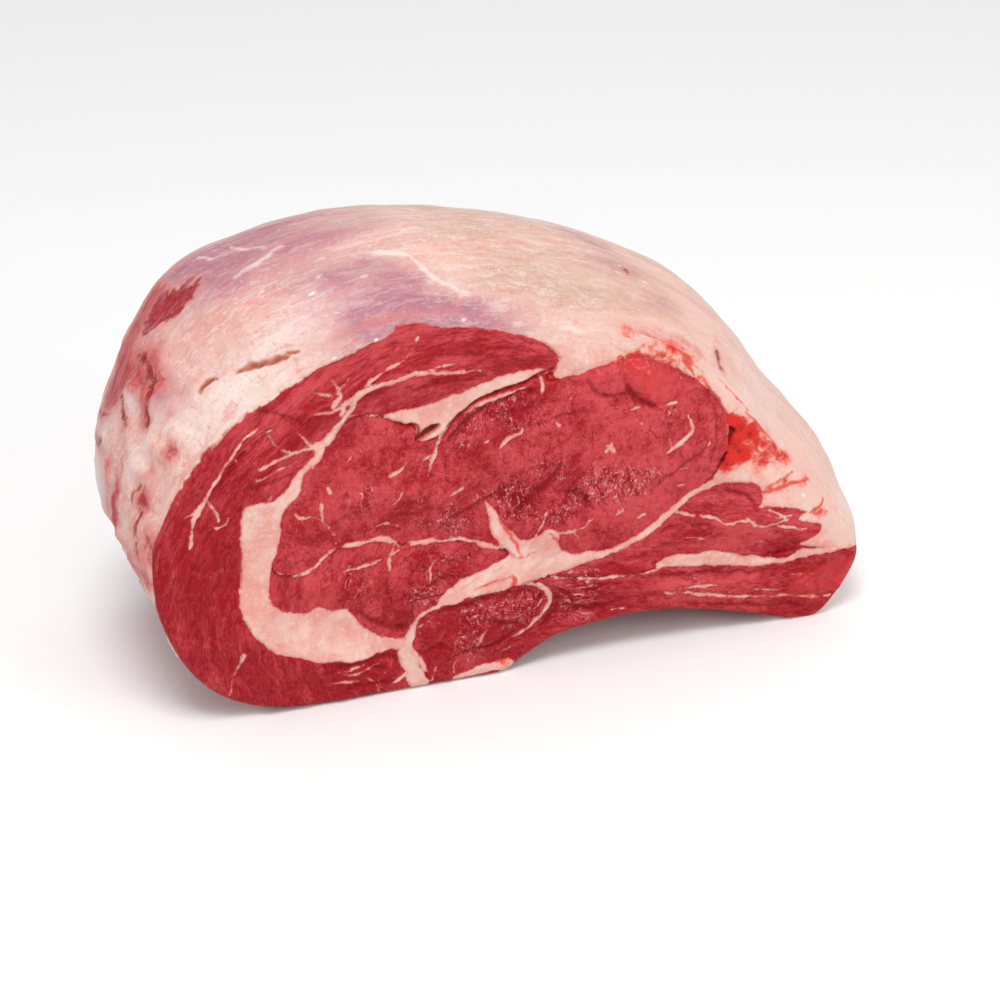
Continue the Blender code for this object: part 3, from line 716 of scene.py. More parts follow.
# Rounded swellings and hollows of single places on a cut face: (x, z, radius, height)
SWELLINGS = (
    (42, 105, 6, 0.7), (35, 97, 4, -0.9), (41, 92, 4, -0.3), (20, 66, 8, -0.8), (-5, 68, 5, -0.7),
    (31, 64, 5, -0.5), (12, 74, 9, 0.3), (24, 88, 10, 0.2), (-20, 26, 7, 0.3), (20, 24, 9, -0.6),
    (2, 24, 5, 0.4), (-60, 8, 9, 0.3), (-32, 12, 8, 0.3), (-44, 72, 9, 0.2), (-58, 70, 5, -0.4),
    (60, 105, 6, -0.5), (82, 72, 6, -0.5), (3, 97, 6, -0.3), (-30, 62, 8, -0.3), (65, 43, 6, 0.2),
)
# Lighter and darker places in the lean of a cut face: (x, z, radius, amount). Most are the lean's own tone,
# but the dark ones over the sunken places of the eye muscle, round (12, 66), (-2, 68), (-6, 96) and
# (3, 102), are painted shade.
TONES = (
    (30, 90, 14, 0.15), (45, 84, 12, 0.2), (10, 84, 12, 0.15), (-6, 96, 9, -0.45), (3, 102, 8, -0.4),
    (12, 66, 9, -0.35), (-2, 68, 8, -0.4), (26, 72, 8, 0.1), (50, 66, 12, 0.25), (38, 58, 9, 0.35),
    (48, 56, 6, 0.2), (-45, 84, 14, -0.05), (-60, 78, 9, 0.1), (-30, 76, 10, -0.3), (-60, 47, 12, -0.15),
    (-28, 46, 10, -0.35), (-100, 80, 14, -0.5), (-110, 64, 12, -0.5), (-75, 110, 14, -0.3),
    (-90, 98, 10, -0.3), (-50, 112, 14, -0.1), (-30, 122, 16, -0.25), (-108, 46, 16, -0.55), (-100, 24, 18, -0.5),
    (0, 24, 10, -0.85), (-22, 24, 10, -0.8), (20, 22, 10, -0.6), (-12, 14, 10, -0.5), (34, 24, 10, -0.3),
    (60, 24, 12, 0.1), (90, 17, 15, -0.25), (114, 18, 12, -0.7), (66, 50, 8, -0.2), (60, 40, 8, -0.2), (-46, 40, 10, -0.35),
    (-30, 10, 12, -0.3), (-60, 8, 12, -0.75), (-50, 8, 6, -0.5), (90, 34, 8, -0.3), (64, 82, 8, -0.1), (-80, 8, 14, -0.5),
    (32, 104, 5, 0.2), (24, 98, 8, 0.1), (-62, 66, 8, -0.2), (-10, 118, 12, -0.2), (84, 50, 8, 0.1),
)
# Places where the cut fibres are ruffled: (x, z, radius, amount)
RUFFLES = (
    (26, 66, 7, 1), (35, 64, 6, 0.9), (18, 62, 5, 0.6), (-5, 68, 6, 0.8), (-14, 69, 4, 0.7),
    (-2, 62, 6, 0.7), (10, 57, 6, 0.6), (-10, 101, 7, 0.7), (-22, 94, 6, 0.7), (8, 75, 6, 0.6),
    (44, 68, 6, 0.5), (-24, 62, 6, 0.6), (-36, 66, 7, 0.4), (-60, 44, 8, 0.4), (-30, 46, 10, 0.4),
    (0, 24, 7, 0.9), (18, 25, 10, 0.9), (-15, 26, 8, 0.7), (-56, 74, 7, 0.5), (-20, 12, 7, 0.5),
    (64, 24, 10, 0.4), (66, 50, 8, 0.3), (2, 94, 8, 0.4), (-36, 36, 6, 0.5), (50, 90, 5, 0.5),
)
# The eye of the rib and the middle muscle, whose fibres run straight out of the cut
ROUND_GRAIN = ((-31, 92.5), (-28, 96), (-20, 102), (-8, 107), (20, 110), (45, 109), (66, 94), (72, 74),
               (62, 58.5), (44, 46), (30, 40), (12, 41), (-5, 46.5), (-13, 50), (-18, 52.5), (-29, 55),
               (-44, 56.5), (-50, 59.5), (-57, 59.3), (-64, 58.3), (-69, 56.6), (-73, 53), (-79, 51),
               (-86, 54), (-87, 66), (-84, 76), (-78, 80), (-76, 88), (-71, 92), (-68, 98), (-63, 102),
               (-55, 104.5), (-49, 103), (-43, 99.8), (-38, 97.5), (-37, 92.5))

CORNERS = (12, 227, 330, 545)   # mm round the rim, where the sheet of a cut has its corners
SHEET_CELLS = (420, 200)
SHEET_TURN = 1.05               # radians of the rounded edge that belong to the cut's own sheet
MAP_LEAN = (0.354, -0.545)      # how far the map of a cut shifts, per mm that the cut stands out


def spread_over_cut(rim, across, up):
    """Flat points of a cut's sheet at shares across and up, out to its edge."""
    def edge(start, end, share):
        points, normals, _ = rim.read(start + (end - start) * share)
        return points + normals * RIM_ROUND * (SHEET_TURN - 1)

    low_left, low_right, high_right, high_left = CORNERS
    s, t = across[:, None], up[:, None]
    ends = [edge(place, place, np.zeros(1)) for place in (low_left, low_right, high_left, high_right)]
    return ((1 - t) * edge(low_left, low_right, across) + t * edge(high_left, high_right, across)
            + (1 - s) * edge(low_left + rim.length, high_left, up)
            + s * edge(low_right, high_right, up)
            - (1 - t) * ((1 - s) * ends[0] + s * ends[1]) - t * ((1 - s) * ends[2] + s * ends[3]))


def meat_map(points, seed, stray=0.0):
    """Depths in mm inside the fat and the slits, and the blood, at points of a cut face."""
    placed = points + np.stack([noise(points, 5, seed + s, 2) * 0.3 + noise(points, 1.6, seed + s + 2) * 0.12
                                + noise(points, 34, seed + s + 4) * stray for s in (1, 2)], -1)
    fat, veins, slit = (np.full(len(points), -6.0) for _ in range(3))
    blood = np.zeros(len(points))
    for outline in FAT_AREAS:
        paint_area(fat, placed, outline)
    for line in FAT_LINES:
        paint_line(veins, placed, line)
    fat = np.maximum(fat + noise(points, 2.4, seed + 7, 2) * 0.2,
                     veins + noise(points, 3, seed + 6, 2) * 0.34 - 0.12)
    for line in SLITS:
        paint_line(slit, placed, line)
    for blob in BLOOD:
        paint_blob(blood, placed, *blob)
    return fat, slit, np.clip(blood, 0, 1)


def line_map(points, lines, seed):
    """Depths in mm inside lines that waver a little."""
    placed = points + np.stack([noise(points, 5, seed + s, 2) * 0.4 + noise(points, 1.6, seed + s + 2) * 0.2
                                for s in (1, 2)], -1)
    field = np.full(len(points), -6.0)
    for line in lines:
        paint_line(field, placed, line)
    return field


def muscle_grain(points):
    """Places in the pattern of the fibres, in mm: drawn out where they lie along the cut."""
    x, z = points.T
    turn = np.mod(np.arctan2(z - 30, x + 15) + 0.9, 2 * math.pi)
    around = np.stack([turn * 70 * 0.4, np.hypot(z - 30, x + 15) * 1.1], -1)
    strip = np.stack([(x * 0.97 - z * 0.22) * 0.35, x * 0.22 + z * 0.97], -1)
    shape = np.full(len(points), -1.0)
    paint_area(shape, points, ROUND_GRAIN, reach=1)
    grain = np.where(shape[:, None] > 0, points, around)
    ring = np.interp(z, (0, 13, 15.6, 18.5, 22.5, 26, 30, 33, 34, 36), (-10, -6, -1, 3.5, 7.5, 8.8, 7, 3, -3, -12))
    knob = (z < 35) & (x < ring) & (x > -40)
    grain = np.where(knob[:, None], points * (0.8, 1) + 150, grain)
    seam = np.interp(x, (-12, 9, 20, 38, 47, 55, 70, 90, 110), (36, 34.6, 31.8, 29.8, 31, 32, 30, 27, 26))
    low = (z < seam) & (x > -12) & ~knob
    grain = np.where(low[:, None], strip + 300, grain)
    wedge = (x > 5) & (z < 62) & ~low
    return np.where((wedge & (shape < 0))[:, None], strip - 300, grain)


def skin_fields(place, deep):
    """Shares of silverskin, pink, tan and white fat at places of the outside, and of how calm it is."""
    flat = np.stack([place, deep], -1)
    placed = flat + np.stack([noise(flat, 6, s, 2) * 0.8 + noise(flat, 1.8, s + 2) * 0.2
                              for s in (41, 42)], -1)
    tables = {"skin": SILVERSKIN, "pink": PINK, "tan": TAN, "white": WHITE}
    fields = {key: np.clip(soft_patches(placed, table), 0, 1) for key, table in tables.items()}
    return {**fields, "calm": smooth_step(415, 360, place + noise(flat, 20, 79) * 12)}


def lay_of(rim, place, deep):
    """Where a point of the outside lies for its patterns: round the rim, and along the surface inwards."""
    under = np.where(place > rim.length + 80, place - rim.length, place)
    return np.column_stack([under, deep, 0 * deep]) * MM


def cut_face(name, back, seed):
    """A cut face as a closed slice: muscles stand out between sunken seams, and its edge is rounded."""
    sizes, rim = bpy.context.scene.roast_sizes, Rim()
    piece = new_piece(name, bpy.ops.mesh.primitive_grid_add, size=1,
                      x_subdivisions=SHEET_CELLS[0], y_subdivisions=SHEET_CELLS[1])
    start = np.empty(len(piece.data.vertices) * 3, np.float32)
    piece.data.vertices.foreach_get("co", start)
    across, up = start.reshape(-1, 3)[:, :2].T.astype(float) + 0.5
    flat = spread_over_cut(rim, 1 - across if back else across, up)

    places = np.linspace(0, rim.length, int(rim.length) + 1)
    on_rim, normals, _ = rim.read(places)
    distance, along = line_distance(flat, on_rim - normals * RIM_ROUND)
    on_rim, normals, swell = rim.read(along * rim.length)
    nearest = on_rim - normals * RIM_ROUND
    way = (flat - nearest) / np.maximum(distance, 1e-6)[:, None]
    beyond = (way * normals).sum(axis=1) > 0
    turn = np.where(beyond, distance / RIM_ROUND, 0)
    rounded = np.where(beyond[:, None], nearest + way * (RIM_ROUND * np.sin(turn))[:, None], flat)

    seam = np.min([line_distance(flat, smooth_curve(line, 4))[0] for line in SEAMS], axis=0)
    close = np.minimum(seam, np.where(beyond, 0, distance))
    relief = sizes.muscle_bulge / MM * (1 - np.exp(-(close / (sizes.muscle_shoulder / MM)) ** 2))
    flat = flat + relief[:, None] * MAP_LEAN
    fat, slit, blood = meat_map(flat, seed, 3.5 if back else 0)
    is_fat = smooth_step(-0.4, 0.6, fat)
    lean_grain = (noise(flat, 9, seed + 20, 2) * 0.4 + noise(flat, 3.4, seed + 21, 2) * 0.28
                  + noise(flat, 1.5, seed + 22) * 0.14)
    relief += (1 - is_fat) * (lean_grain * sizes.fibre_relief / MM / 0.3 - 0.2)
    relief += is_fat * (noise(flat, 5, seed + 23, 2) * 0.15 + 0.1)
    relief -= 0.25 * np.exp(-((fat + 0.1) / 0.45) ** 2)
    for x, z, radius, height in SWELLINGS:
        relief += height * np.exp(-((flat[:, 0] - x) ** 2 + (flat[:, 1] - z) ** 2) / radius ** 2)
    lobe = np.full(len(flat), -6.0)
    for outline in LOBES:
        paint_area(lobe, flat, outline)
    relief += smooth_step(-0.6, 3, lobe) * 0.9 - 0.35 * np.exp(-((lobe + 0.8) / 0.7) ** 2)
    fold, stain = line_map(flat, FOLDS, seed + 10), line_map(flat, STAINS, seed + 12)
    relief -= smooth_step(-0.7, 0.6, slit) * sizes.slit_depth / MM
    relief -= smooth_step(-1.2, 1.2, fold) * 0.9
    most = sizes.muscle_bulge / MM
    relief = np.where(relief > most - 0.5, most - 0.5 * np.exp(-(relief - most + 0.5) / 0.5), relief)
    relief *= 1 - smooth_step(0.55, 1, turn)

    from_cut = RIM_ROUND * (1 - np.cos(turn))
    share = 1 - from_cut / DEPTH if back else from_cut / DEPTH
    swollen = rounded + normals * (swell * swell_at(share))[:, None]
    x, z = ((swollen + way * (relief * np.sin(turn))[:, None]) * taper(share)).T
    y = DEPTH / 2 - from_cut + relief * np.cos(turn)
    set_vertices(piece, to_frame(x, y if back else -y, z))
    close_inside(piece, (-8 if back else 8) * MM)
    tone, ruffle = np.zeros(len(flat)), np.zeros(len(flat))
    for blob in TONES:
        paint_blob(tone, flat, *blob)
    for blob in RUFFLES:
        paint_blob(ruffle, flat, *blob)
    inwards = np.where(beyond, 0, distance)
    edge = 1 - smooth_step(1, 5 + noise(flat, 8, seed + 30) * 1.5, inwards)
    lay_deep = RIM_ROUND * (1 + turn - math.pi / 2) - inwards
    if back:
        lay_deep = DEPTH - lay_deep
    place = along * rim.length
    place_fields(piece, len(flat), fat=fat, slit=slit, blood=blood, tone=tone, ruffle=ruffle,
                 fold=fold, stain=stain, lobe=smooth_step(-0.3, 1, lobe), edge=edge, lay=lay_of(rim, place, lay_deep),
                 **skin_fields(place, lay_deep),
                 grain=np.column_stack([muscle_grain(flat) * MM, np.full(len(flat), seed * 0.1)]))
    return piece


def place_fields(piece, count, **fields):
    """Stores each field on a piece's first `count` vertices, and its mean on those added after them."""
    more = len(piece.data.vertices) - count
    for name, values in fields.items():
        values = np.asarray(values, float)
        rest = np.repeat(values.mean(axis=0, keepdims=True), more, axis=0)
        set_field(piece, name, np.concatenate([values, rest]))


# ---------------------------------------------------------------- the outside

BUSY = (238, 622)        # mm round the rim, the stretch of the outside that has the finest columns
COLUMNS = (620, 178)     # columns in that stretch, and in the rest
FACE_MIDDLE = (10, 74)


def outside_places(rim):
    """Places round the rim of each column of the outside, from the middle of the base."""
    low, high = BUSY
    spare = rim.length - (high - low)
    busy = low + (high - low) * np.arange(COLUMNS[0]) / COLUMNS[0]
    return np.concatenate([busy, high + spare * np.arange(COLUMNS[1]) / COLUMNS[1]])


def outside_rows():
    """Depths in mm behind the front cut of each row of the outside."""
    edge = RIM_ROUND * (1 - np.cos([0.7, 0.85, 0.97, 1.07, 1.22, 1.4]))
    middle = np.concatenate([np.arange(3.5, 60, 0.78), np.arange(60, DEPTH - 3.4, 1.32)])
    return np.concatenate([edge, middle, DEPTH - edge[::-1]])


def edge_inset(deep):
    """How far a row near a cut is drawn in, so that the cut's edge is rounded."""
    from_cut = np.minimum(np.minimum(deep, DEPTH - deep), RIM_ROUND)
    return RIM_ROUND - np.sqrt(RIM_ROUND ** 2 - (RIM_ROUND - from_cut) ** 2)


def edge_map_points(rim, place, from_cut):
    """Points of the flat map of a cut that the outside carries on from, at depths behind the cut."""
    points, normals, _ = rim.read(place)
    turn = np.arccos(np.clip(1 - from_cut / RIM_ROUND, 0, 1))
    past = RIM_ROUND * (turn - 1) + np.maximum(from_cut - RIM_ROUND, 0)
    return points + normals * past[:, None]


def outside_fields(rim, place, deep):
    """What shows at each point of the outside: depths in mm inside things, or shares from 0 to 1."""
    flat = np.stack([place, deep], -1)
    placed = flat + np.stack([noise(flat, 6, s, 2) * 0.8 + noise(flat, 1.8, s + 2) * 0.2
                              for s in (41, 42)], -1)
    count = len(flat)
    lean, crease, pale = (np.full(count, -6.0) for _ in range(3))
    for outline in BARE_LEAN:
        paint_area(lean, placed, outline)
    for line in RED_STREAKS:
        paint_line(lean, placed, line)
    for line in CREASES:
        paint_line(crease, placed, line)
    for line in PALE_EDGES:
        paint_line(pale, placed, line)
    # the rib side: lean between bands of fat and skin that run from cut to cut
    under = np.where(place > 560, place - rim.length, place)
    rib_side = np.minimum(under + 14, 226 - under)
    bands = np.full(count, -6.0)
    for middle, width in ((20, 4), (44, 2), (72, 5), (104, 4), (132, 2.5), (160, 3), (186, 2), (214, 4)):
        bands = np.maximum(bands, width - np.abs(under - middle - noise(flat, 22, middle, 2) * 5))
    own = np.maximum(lean, np.minimum(rib_side, -bands))
    fat = -own
    blood = np.zeros(count)
    for from_cut, seed, stray in ((deep, 0, 0), (DEPTH - deep, 60, 3.5)):
        close = from_cut < 8
        cut_fat, _, cut_blood = meat_map(edge_map_points(rim, place[close], from_cut[close]), seed, stray)
        share = smooth_step(1.2, 3.4 + noise(flat[close], 6, 77) * 1.2, from_cut[close])
        fat[close] = np.clip(cut_fat, -3, 3) * (1 - share) + np.clip(fat[close], -3, 3) * share
        blood[close] = np.maximum(blood[close], cut_blood * (1 - share))
    near_cut = 1 - smooth_step(0.6, 2.4, np.minimum(deep, DEPTH - deep) + noise(flat * (0.3, 1), 6, 78) * 0.6)
    return {"fat": fat, "creased": crease, "pale": pale, "blood": blood, "near_cut": near_cut,
            **skin_fields(place, deep), "raw": np.clip(soft_patches(placed, RAW), 0, 1.2)}


def outside_relief(place, deep, fields, lump_height):
    """How far the outside stands out or sinks in at each point, in mm."""
    flat = np.stack([place, deep], -1)
    relief = np.zeros(len(flat))
    for x, y, across, along, height in LUMPS:
        relief += height * np.exp(-((place - x) / across) ** 2 - ((deep - y) / along) ** 2)
    ribs = noise(flat * (0.45, 1), 9, 31, 3) * 0.5 + noise(flat * (0.3, 1), 3, 32, 2) * 0.16
    torn = smooth_step(500, 540, place) * smooth_step(1, 7, deep) * (1 - smooth_step(28, 40, deep) * 0.75)
    ribs += torn * (noise(flat, 9, 33, 2) * 1.0 + noise(flat, 4.2, 34, 2) * 0.9)
    relief += ribs * (lump_height / MM)
    relief -= smooth_step(-1.3, 0.6, fields["creased"]) * 1.1
    relief -= smooth_step(-0.5, 1.4, -fields["fat"]) * 0.9
    relief += smooth_step(-0.6, 0.3, fields["pale"]) * 0.3
    from_cut = np.minimum(deep, DEPTH - deep)
    return relief * smooth_step(1.8, 5, from_cut)


def outside_shell(name):
    """The fat cap and the rib side as one closed shell, drawn in under the cut faces at both ends."""
    sizes, rim = bpy.context.scene.roast_sizes, Rim()
    places, rows = outside_places(rim), outside_rows()
    columns = len(places)
    place, deep = (grid.ravel() for grid in np.meshgrid(places, rows))
    points, normals, swell = rim.read(place)
    share = deep / DEPTH
    fields = outside_fields(rim, place, deep)
    relief = outside_relief(place, deep, fields, sizes.lumps)
    from_cut = np.minimum(deep, DEPTH - deep)
    relief -= 0.35 * (1 - smooth_step(1.5, 1.8, from_cut))
    row = (points + normals * (swell * swell_at(share) - edge_inset(deep))[:, None]) * taper(share)
    row = row + normals * relief[:, None]
    shell = np.column_stack([row[:, 0], deep - DEPTH / 2, row[:, 1]])

    def end(at_row, sign):
        """Rings that close one end behind its cut face, from the pole out."""
        around = shell.reshape(len(rows), columns, 3)[at_row]
        middle = np.array([FACE_MIDDLE[0], sign * (DEPTH / 2 - 8), FACE_MIDDLE[1]])
        rings = [middle + (around * (1, 0, 1) + (0, middle[1], 0) - middle) * part
                 for part in (0, 0.5, 0.95)]
        return np.concatenate(rings)

    first, last = end(0, -1), end(-1, 1).reshape(3, columns, 3)[::-1].reshape(-1, 3)
    rings = np.concatenate([first, shell, last]).reshape(-1, columns, 3)
    piece = new_piece(name, bpy.ops.mesh.primitive_uv_sphere_add, segments=columns,
                      ring_count=len(rings) - 1, radius=1)
    start = np.empty(len(piece.data.vertices) * 3, np.float32)
    piece.data.vertices.foreach_get("co", start)
    start = start.reshape(-1, 3).astype(float)
    ring = np.round(np.arccos(np.clip(start[:, 2], -1, 1)) / math.pi * (len(rings) - 1)).astype(int)
    column = np.round(np.arctan2(start[:, 1], start[:, 0]) / (2 * math.pi) * columns).astype(int) % columns
    x, y, z = rings[ring, column].T
    set_vertices(piece, to_frame(x, y, z))
    spot = np.clip(ring - 3, 0, len(rows) - 1) * columns + column
    for field, values in fields.items():
        set_field(piece, field, values[spot])
    turn = np.arccos(np.clip(1 - from_cut / RIM_ROUND, 0, 1))
    lay_deep = np.where(from_cut < RIM_ROUND, RIM_ROUND * (1 + turn - math.pi / 2), from_cut)
    lay_deep = np.where(deep > DEPTH / 2, DEPTH - lay_deep, lay_deep)
    set_field(piece, "lay", lay_of(rim, place, lay_deep)[spot])
    return piece

# ---------------------------------------------------------------- the finishes of this joint


def colour(name):
    return tuple(getattr(bpy.context.scene.roast_colours, name))


def lean_look(finish, place, tone, ruffle):
    """Colour, height in mm and wetness of cut lean, from places in its grain. Its colour has painted shade in
    the hollows and cracks of the fibres, and painted highlights and glints on their ridges.
    """
    patches = finish.grains(place, 85, 3, 0.55)
    swayed = finish.sway(place, 300, 0.0022)
    mottle = finish.grains(swayed, 290, 3, 0.6, 0.5)
    curls = finish.grains(finish.stretch(swayed, (1, 0.6, 1)), 640, 2, 0.55, 1.4)
    hairs = finish.grains(swayed, 1500, 2, 0.6, 0.5)
    ruffled = (ruffle + (finish.grains(place, 200, 2, 0.5, 0.5) - 0.5) * 1.5 + 0.05).between(0.05, 0.95)
    bundles = finish.cells(finish.stretch(finish.sway(swayed, 700, 0.0014), (1, 0.55, 1)), 320, "DISTANCE_TO_EDGE")
    torn = finish.grains(place, 150, 3, 0.6).between(0.47, 0.66)
    # Painted shade: thin dark lines along the cracks between fibre bundles, which the bump also sinks
    cracks = bundles.between(0.07, 0.0) * (torn * 0.7 + ruffled * 0.3)
    shade = (tone * 0.85 + (patches - 0.5) * 1.9 + (mottle - 0.5) * 1.8 + (hairs - 0.5) * 1.3 + 0.56).between(0, 1)
    base = finish.mix(shade, colour("dark_lean"), colour("lean"))
    base = finish.mix(cracks, base, colour("lean_shade"))
    # Painted shade in the hollows between the curled fibres
    hollow_shade = curls.between(0.49, 0.34) * (0.2 + ruffled * 0.65)
    base = finish.mix(hollow_shade, base, colour("lean_shade"))
    # Painted highlight: a paler red along the ridges of the curled fibres, strongest where they are ruffled
    ridge = ((curls - 0.56) * 12).math("ABSOLUTE").between(1, 0)
    base = finish.mix(ridge * (0.12 + ruffled * 0.5), base, colour("ridge_highlight"))
    # Painted glints: whitish spots on the wet ridges of ruffled fibres; the same mask also adds coat
    glint = ridge.between(0.35, 0.9) * finish.grains(swayed, 760, 1).between(0.5, 0.64) * ruffled.between(0.2, 0.8)
    base = finish.mix(glint * 0.7, base, colour("glint"))
    cell = finish.stretch(place, (1, 0.6, 1))
    specks, size = finish.cells(cell, 330), finish.cells(cell, 330, out="Color")
    flecks = specks.between(0.17, 0.04) * size.between(0.8, 0.86)
    base = finish.mix(flecks * 0.6, base, colour("face_fat"))
    height = (curls * (0.1 + ruffled * 0.34) + ridge * 0.05 * ruffled + hairs * 0.09 + mottle * 0.5
              + patches * 0.9 - cracks * 0.2)
    wet = finish.grains(place, 210, 3, 0.6, 0.5).between(0.5, 0.66) * ruffled
    return base, height, wet, glint


def face_finish():
    """The cut face: lean, marbled fat, slits and folds with painted shade, and fresh blood."""
    finish = Finish("cut_beef")
    place, grain = finish.place(), finish.field("grain", vector=True)
    fat, slit, blood = (finish.field(name) for name in ("fat", "slit", "blood"))
    lean, lean_height, wet, glint = lean_look(finish, grain, finish.field("tone"), finish.field("ruffle"))

    fray = (finish.grains(place, 900, 2, 0.6) - 0.5) * 0.9 + (finish.grains(place, 330, 2) - 0.5) * 0.8
    is_fat = (fat + fray).between(-0.3, 0.3)
    fat_patches = finish.grains(place, 80, 4, 0.6)
    fat_grain = finish.grains(place, 480, 4, 0.65)
    fat_colour = finish.mix(fat_patches.between(0.38, 0.64), colour("face_fat"), colour("pale_fat"))
    fat_colour = finish.mix(fat_grain.between(0.5, 0.72) * 0.5, fat_colour, colour("pink_fat"))
    fat_colour = finish.mix((fat + fray).between(1.1, 0.0) * 0.62, fat_colour, colour("pink_fat"))
    veins = finish.grains(place, 130, 4, 0.6, 0.8)
    vein = (1 - ((veins - 0.5) * 22).math("ABSOLUTE")).most(0)
    fat_colour = finish.mix(vein * 0.3, fat_colour, colour("pink_fat"))
    fat_colour = finish.mix(fat_grain.between(0.46, 0.3) * 0.35, fat_colour, colour("white_fat"))
    edge = finish.field("edge")
    edge_fat, *_ = cap_fat(finish, finish.field("lay", vector=True), 1 - finish.field("calm") * 0.7)
    fat_colour = finish.mix(edge * 0.9, fat_colour, edge_fat)
    fat_colour = finish.mix(fat_grain.between(0.56, 0.7) * (0.4 - edge * 0.3), fat_colour, colour("white_fat"))
    # Painted shade in the folds of the lean, which the relief also sinks
    fold = (finish.field("fold") + fray * 1.4).between(-0.9, 0.9)
    lean = finish.mix(fold * 0.8, lean, colour("lean_shade"))
    halo = fat.between(-1.1, -0.1) * 0.3
    lean = finish.mix(halo, lean, colour("bright_lean"))
    lobe = finish.field("lobe")
    slick = finish.mix(finish.grains(place, 420, 3, 0.6, 0.6).between(0.36, 0.62), colour("bright_lean"), colour("lean"))
    lean = finish.mix(lobe * 0.85, lean, slick)
    base = finish.mix(is_fat, lean, fat_colour)

    spread = blood + (finish.grains(place, 260, 4, 0.7, 0.5) - 0.5) * 1.8
    smear = spread.between(0.28, 0.72)
    stain = (finish.field("stain") + fray * 1.2).between(-0.7, 0.4)
    thin = (spread.between(0.0, 0.5) * blood.between(0.02, 0.2)).most(stain) * is_fat
    base = finish.mix(thin * 0.8, base, colour("thin_blood"))
    blot = (smear * (0.5 + is_fat * 0.45)).most(stain * is_fat * 0.6)
    base = finish.mix(blot, base, finish.mix(is_fat, colour("bright_lean"), colour("blood")))
    # The dark core of thick blood on fat, in the same dark red as the painted shade of the slits
    core = (blood - 0.72 + (finish.grains(place, 330, 3, 0.6, 0.5) - 0.5) * 1.2).between(0.1, 0.5) * is_fat
    base = finish.mix(core * 0.8, base, colour("gap"))
    base = finish.mix((slit + fray * 0.7).between(-1.0, -0.2) * 0.7, base, colour("bright_lean"))
    # Painted shade: the inside of each slit is filled with dark red in place of its shade
    gap = (slit + fray * 0.7).between(-0.25, 0.3)
    base = finish.mix(gap * 0.88, base, colour("gap"))
    finish.fill(finish.shader, {
        "Base Color": base,
        "Roughness": 0.5 - wet * 0.16 - smear * 0.2 - lobe * 0.12 + is_fat * 0.02,
        "Coat Weight": (wet * 0.4 + glint * 0.25 + smear * 0.4 + lobe * 0.4) * (1 - is_fat * 0.6) + 0.03 + is_fat * 0.04,
        "Normal": finish.bump(lean_height * (1 - is_fat) + is_fat * (fat_grain * 0.2 + 0.45)
                              - smear * lean_height * 0.5, 1.0, 0.001),
    })
    return wet_body(finish)


def wet_body(finish):
    """The settings that are the same all over a moist, slightly see-through surface."""
    finish.fill(finish.shader, {"Coat Roughness": 0.2, "Coat IOR": 1.38, "Specular IOR Level": 0.07,
                                "Subsurface Weight": 0.1, "Subsurface Scale": 0.0025,
                                "Subsurface Radius": (1.0, 0.35, 0.25)})
    return finish.material


def cap_fat(finish, lay, lively):
    """The streaked fat of the outside: its colour, with painted glints on its specks, the height of its grain, its
    streaks, threads and grit.
    """
    skin, pink, tan, white = (finish.field(n) for n in ("skin", "pink", "tan", "white"))
    wavy = finish.sway(lay, 60, 0.006)
    long = finish.stretch(wavy, (0.13, 1, 1))
    streaks = finish.grains(long, 620, 4, 0.65, 0.2)
    threads = finish.grains(finish.stretch(finish.sway(lay, 160, 0.003), (0.1, 1, 1)), 700, 2, 0.55, 0.3)
    bands = finish.grains(finish.stretch(wavy, (0.2, 1, 1)), 130, 4, 0.6, 0.3)
    broad = finish.grains(finish.stretch(wavy, (0.5, 1, 1)), 55, 4, 0.6, 0.4)
    fine = finish.grains(finish.stretch(lay, (0.4, 1, 1)), 1300, 3, 0.65)
    grit = finish.grains(lay, 520, 4, 0.7)
    base = finish.mix(broad.between(0.36, 0.64), colour("cream_fat"), colour("pale_fat"))
    base = finish.mix(bands.between(0.5, 0.68) * 0.4, base, colour("pink_fat"))
    base = finish.mix(white * (0.4 + bands.between(0.35, 0.6) * 0.6), base, colour("white_fat"))
    dry = tan * (0.25 + grit.between(0.42, 0.62) * 0.35 + bands.between(0.4, 0.6) * 0.5)
    base = finish.mix(dry.least(0.95), base, colour("tan_fat"))
    blush = pink * (0.25 + broad.between(0.4, 0.62) * 0.3 + streaks.between(0.45, 0.6) * 0.35)
    base = finish.mix(blush.least(0.9), base, colour("pink_fat"))
    film = skin * (0.45 + broad.between(0.35, 0.6) * 0.4 + bands.between(0.38, 0.6) * 0.35)
    base = finish.mix(film.least(0.95), base, colour("silverskin"))
    base = finish.mix(streaks.between(0.53, 0.64) * (0.5 - skin * 0.32) * lively, base, colour("white_fat"))
    base = finish.mix(streaks.between(0.47, 0.36) * 0.42 * lively, base, colour("pink_fat"))
    fibre = ((threads - 0.5) * 16).math("ABSOLUTE").between(1, 0) * bands.between(0.44, 0.56)
    base = finish.mix(fibre * (0.36 - skin * 0.2) * lively, base, colour("white_fat"))
    base = finish.mix(grit.between(0.55, 0.68) * (0.5 - skin * 0.3) * lively, base, colour("white_fat"))
    base = finish.mix(grit.between(0.45, 0.32) * 0.5 * lively, base, colour("pink_fat"))
    base = finish.mix(fine.between(0.44, 0.3) * 0.35, base, colour("tan_fat"))
    cell = finish.stretch(wavy, (0.45, 1, 1))
    # Painted glints: small whitish specks that stand in for highlights on the wet fat, and lift its bump a little
    glint_specks = finish.cells(cell, 300).between(0.2, 0.08) * finish.cells(cell, 300, out="Color").between(0.66, 0.8)
    base = finish.mix(glint_specks * 0.85, base, colour("white_fat"))
    height = ((streaks * 0.5 + bands * 0.8 + grit * 0.4) * lively + bands * 0.5 + fine * 0.14 + grit * 0.1
              + glint_specks * 0.12 + fibre * 0.08)
    return base, height, streaks, threads, grit, bands


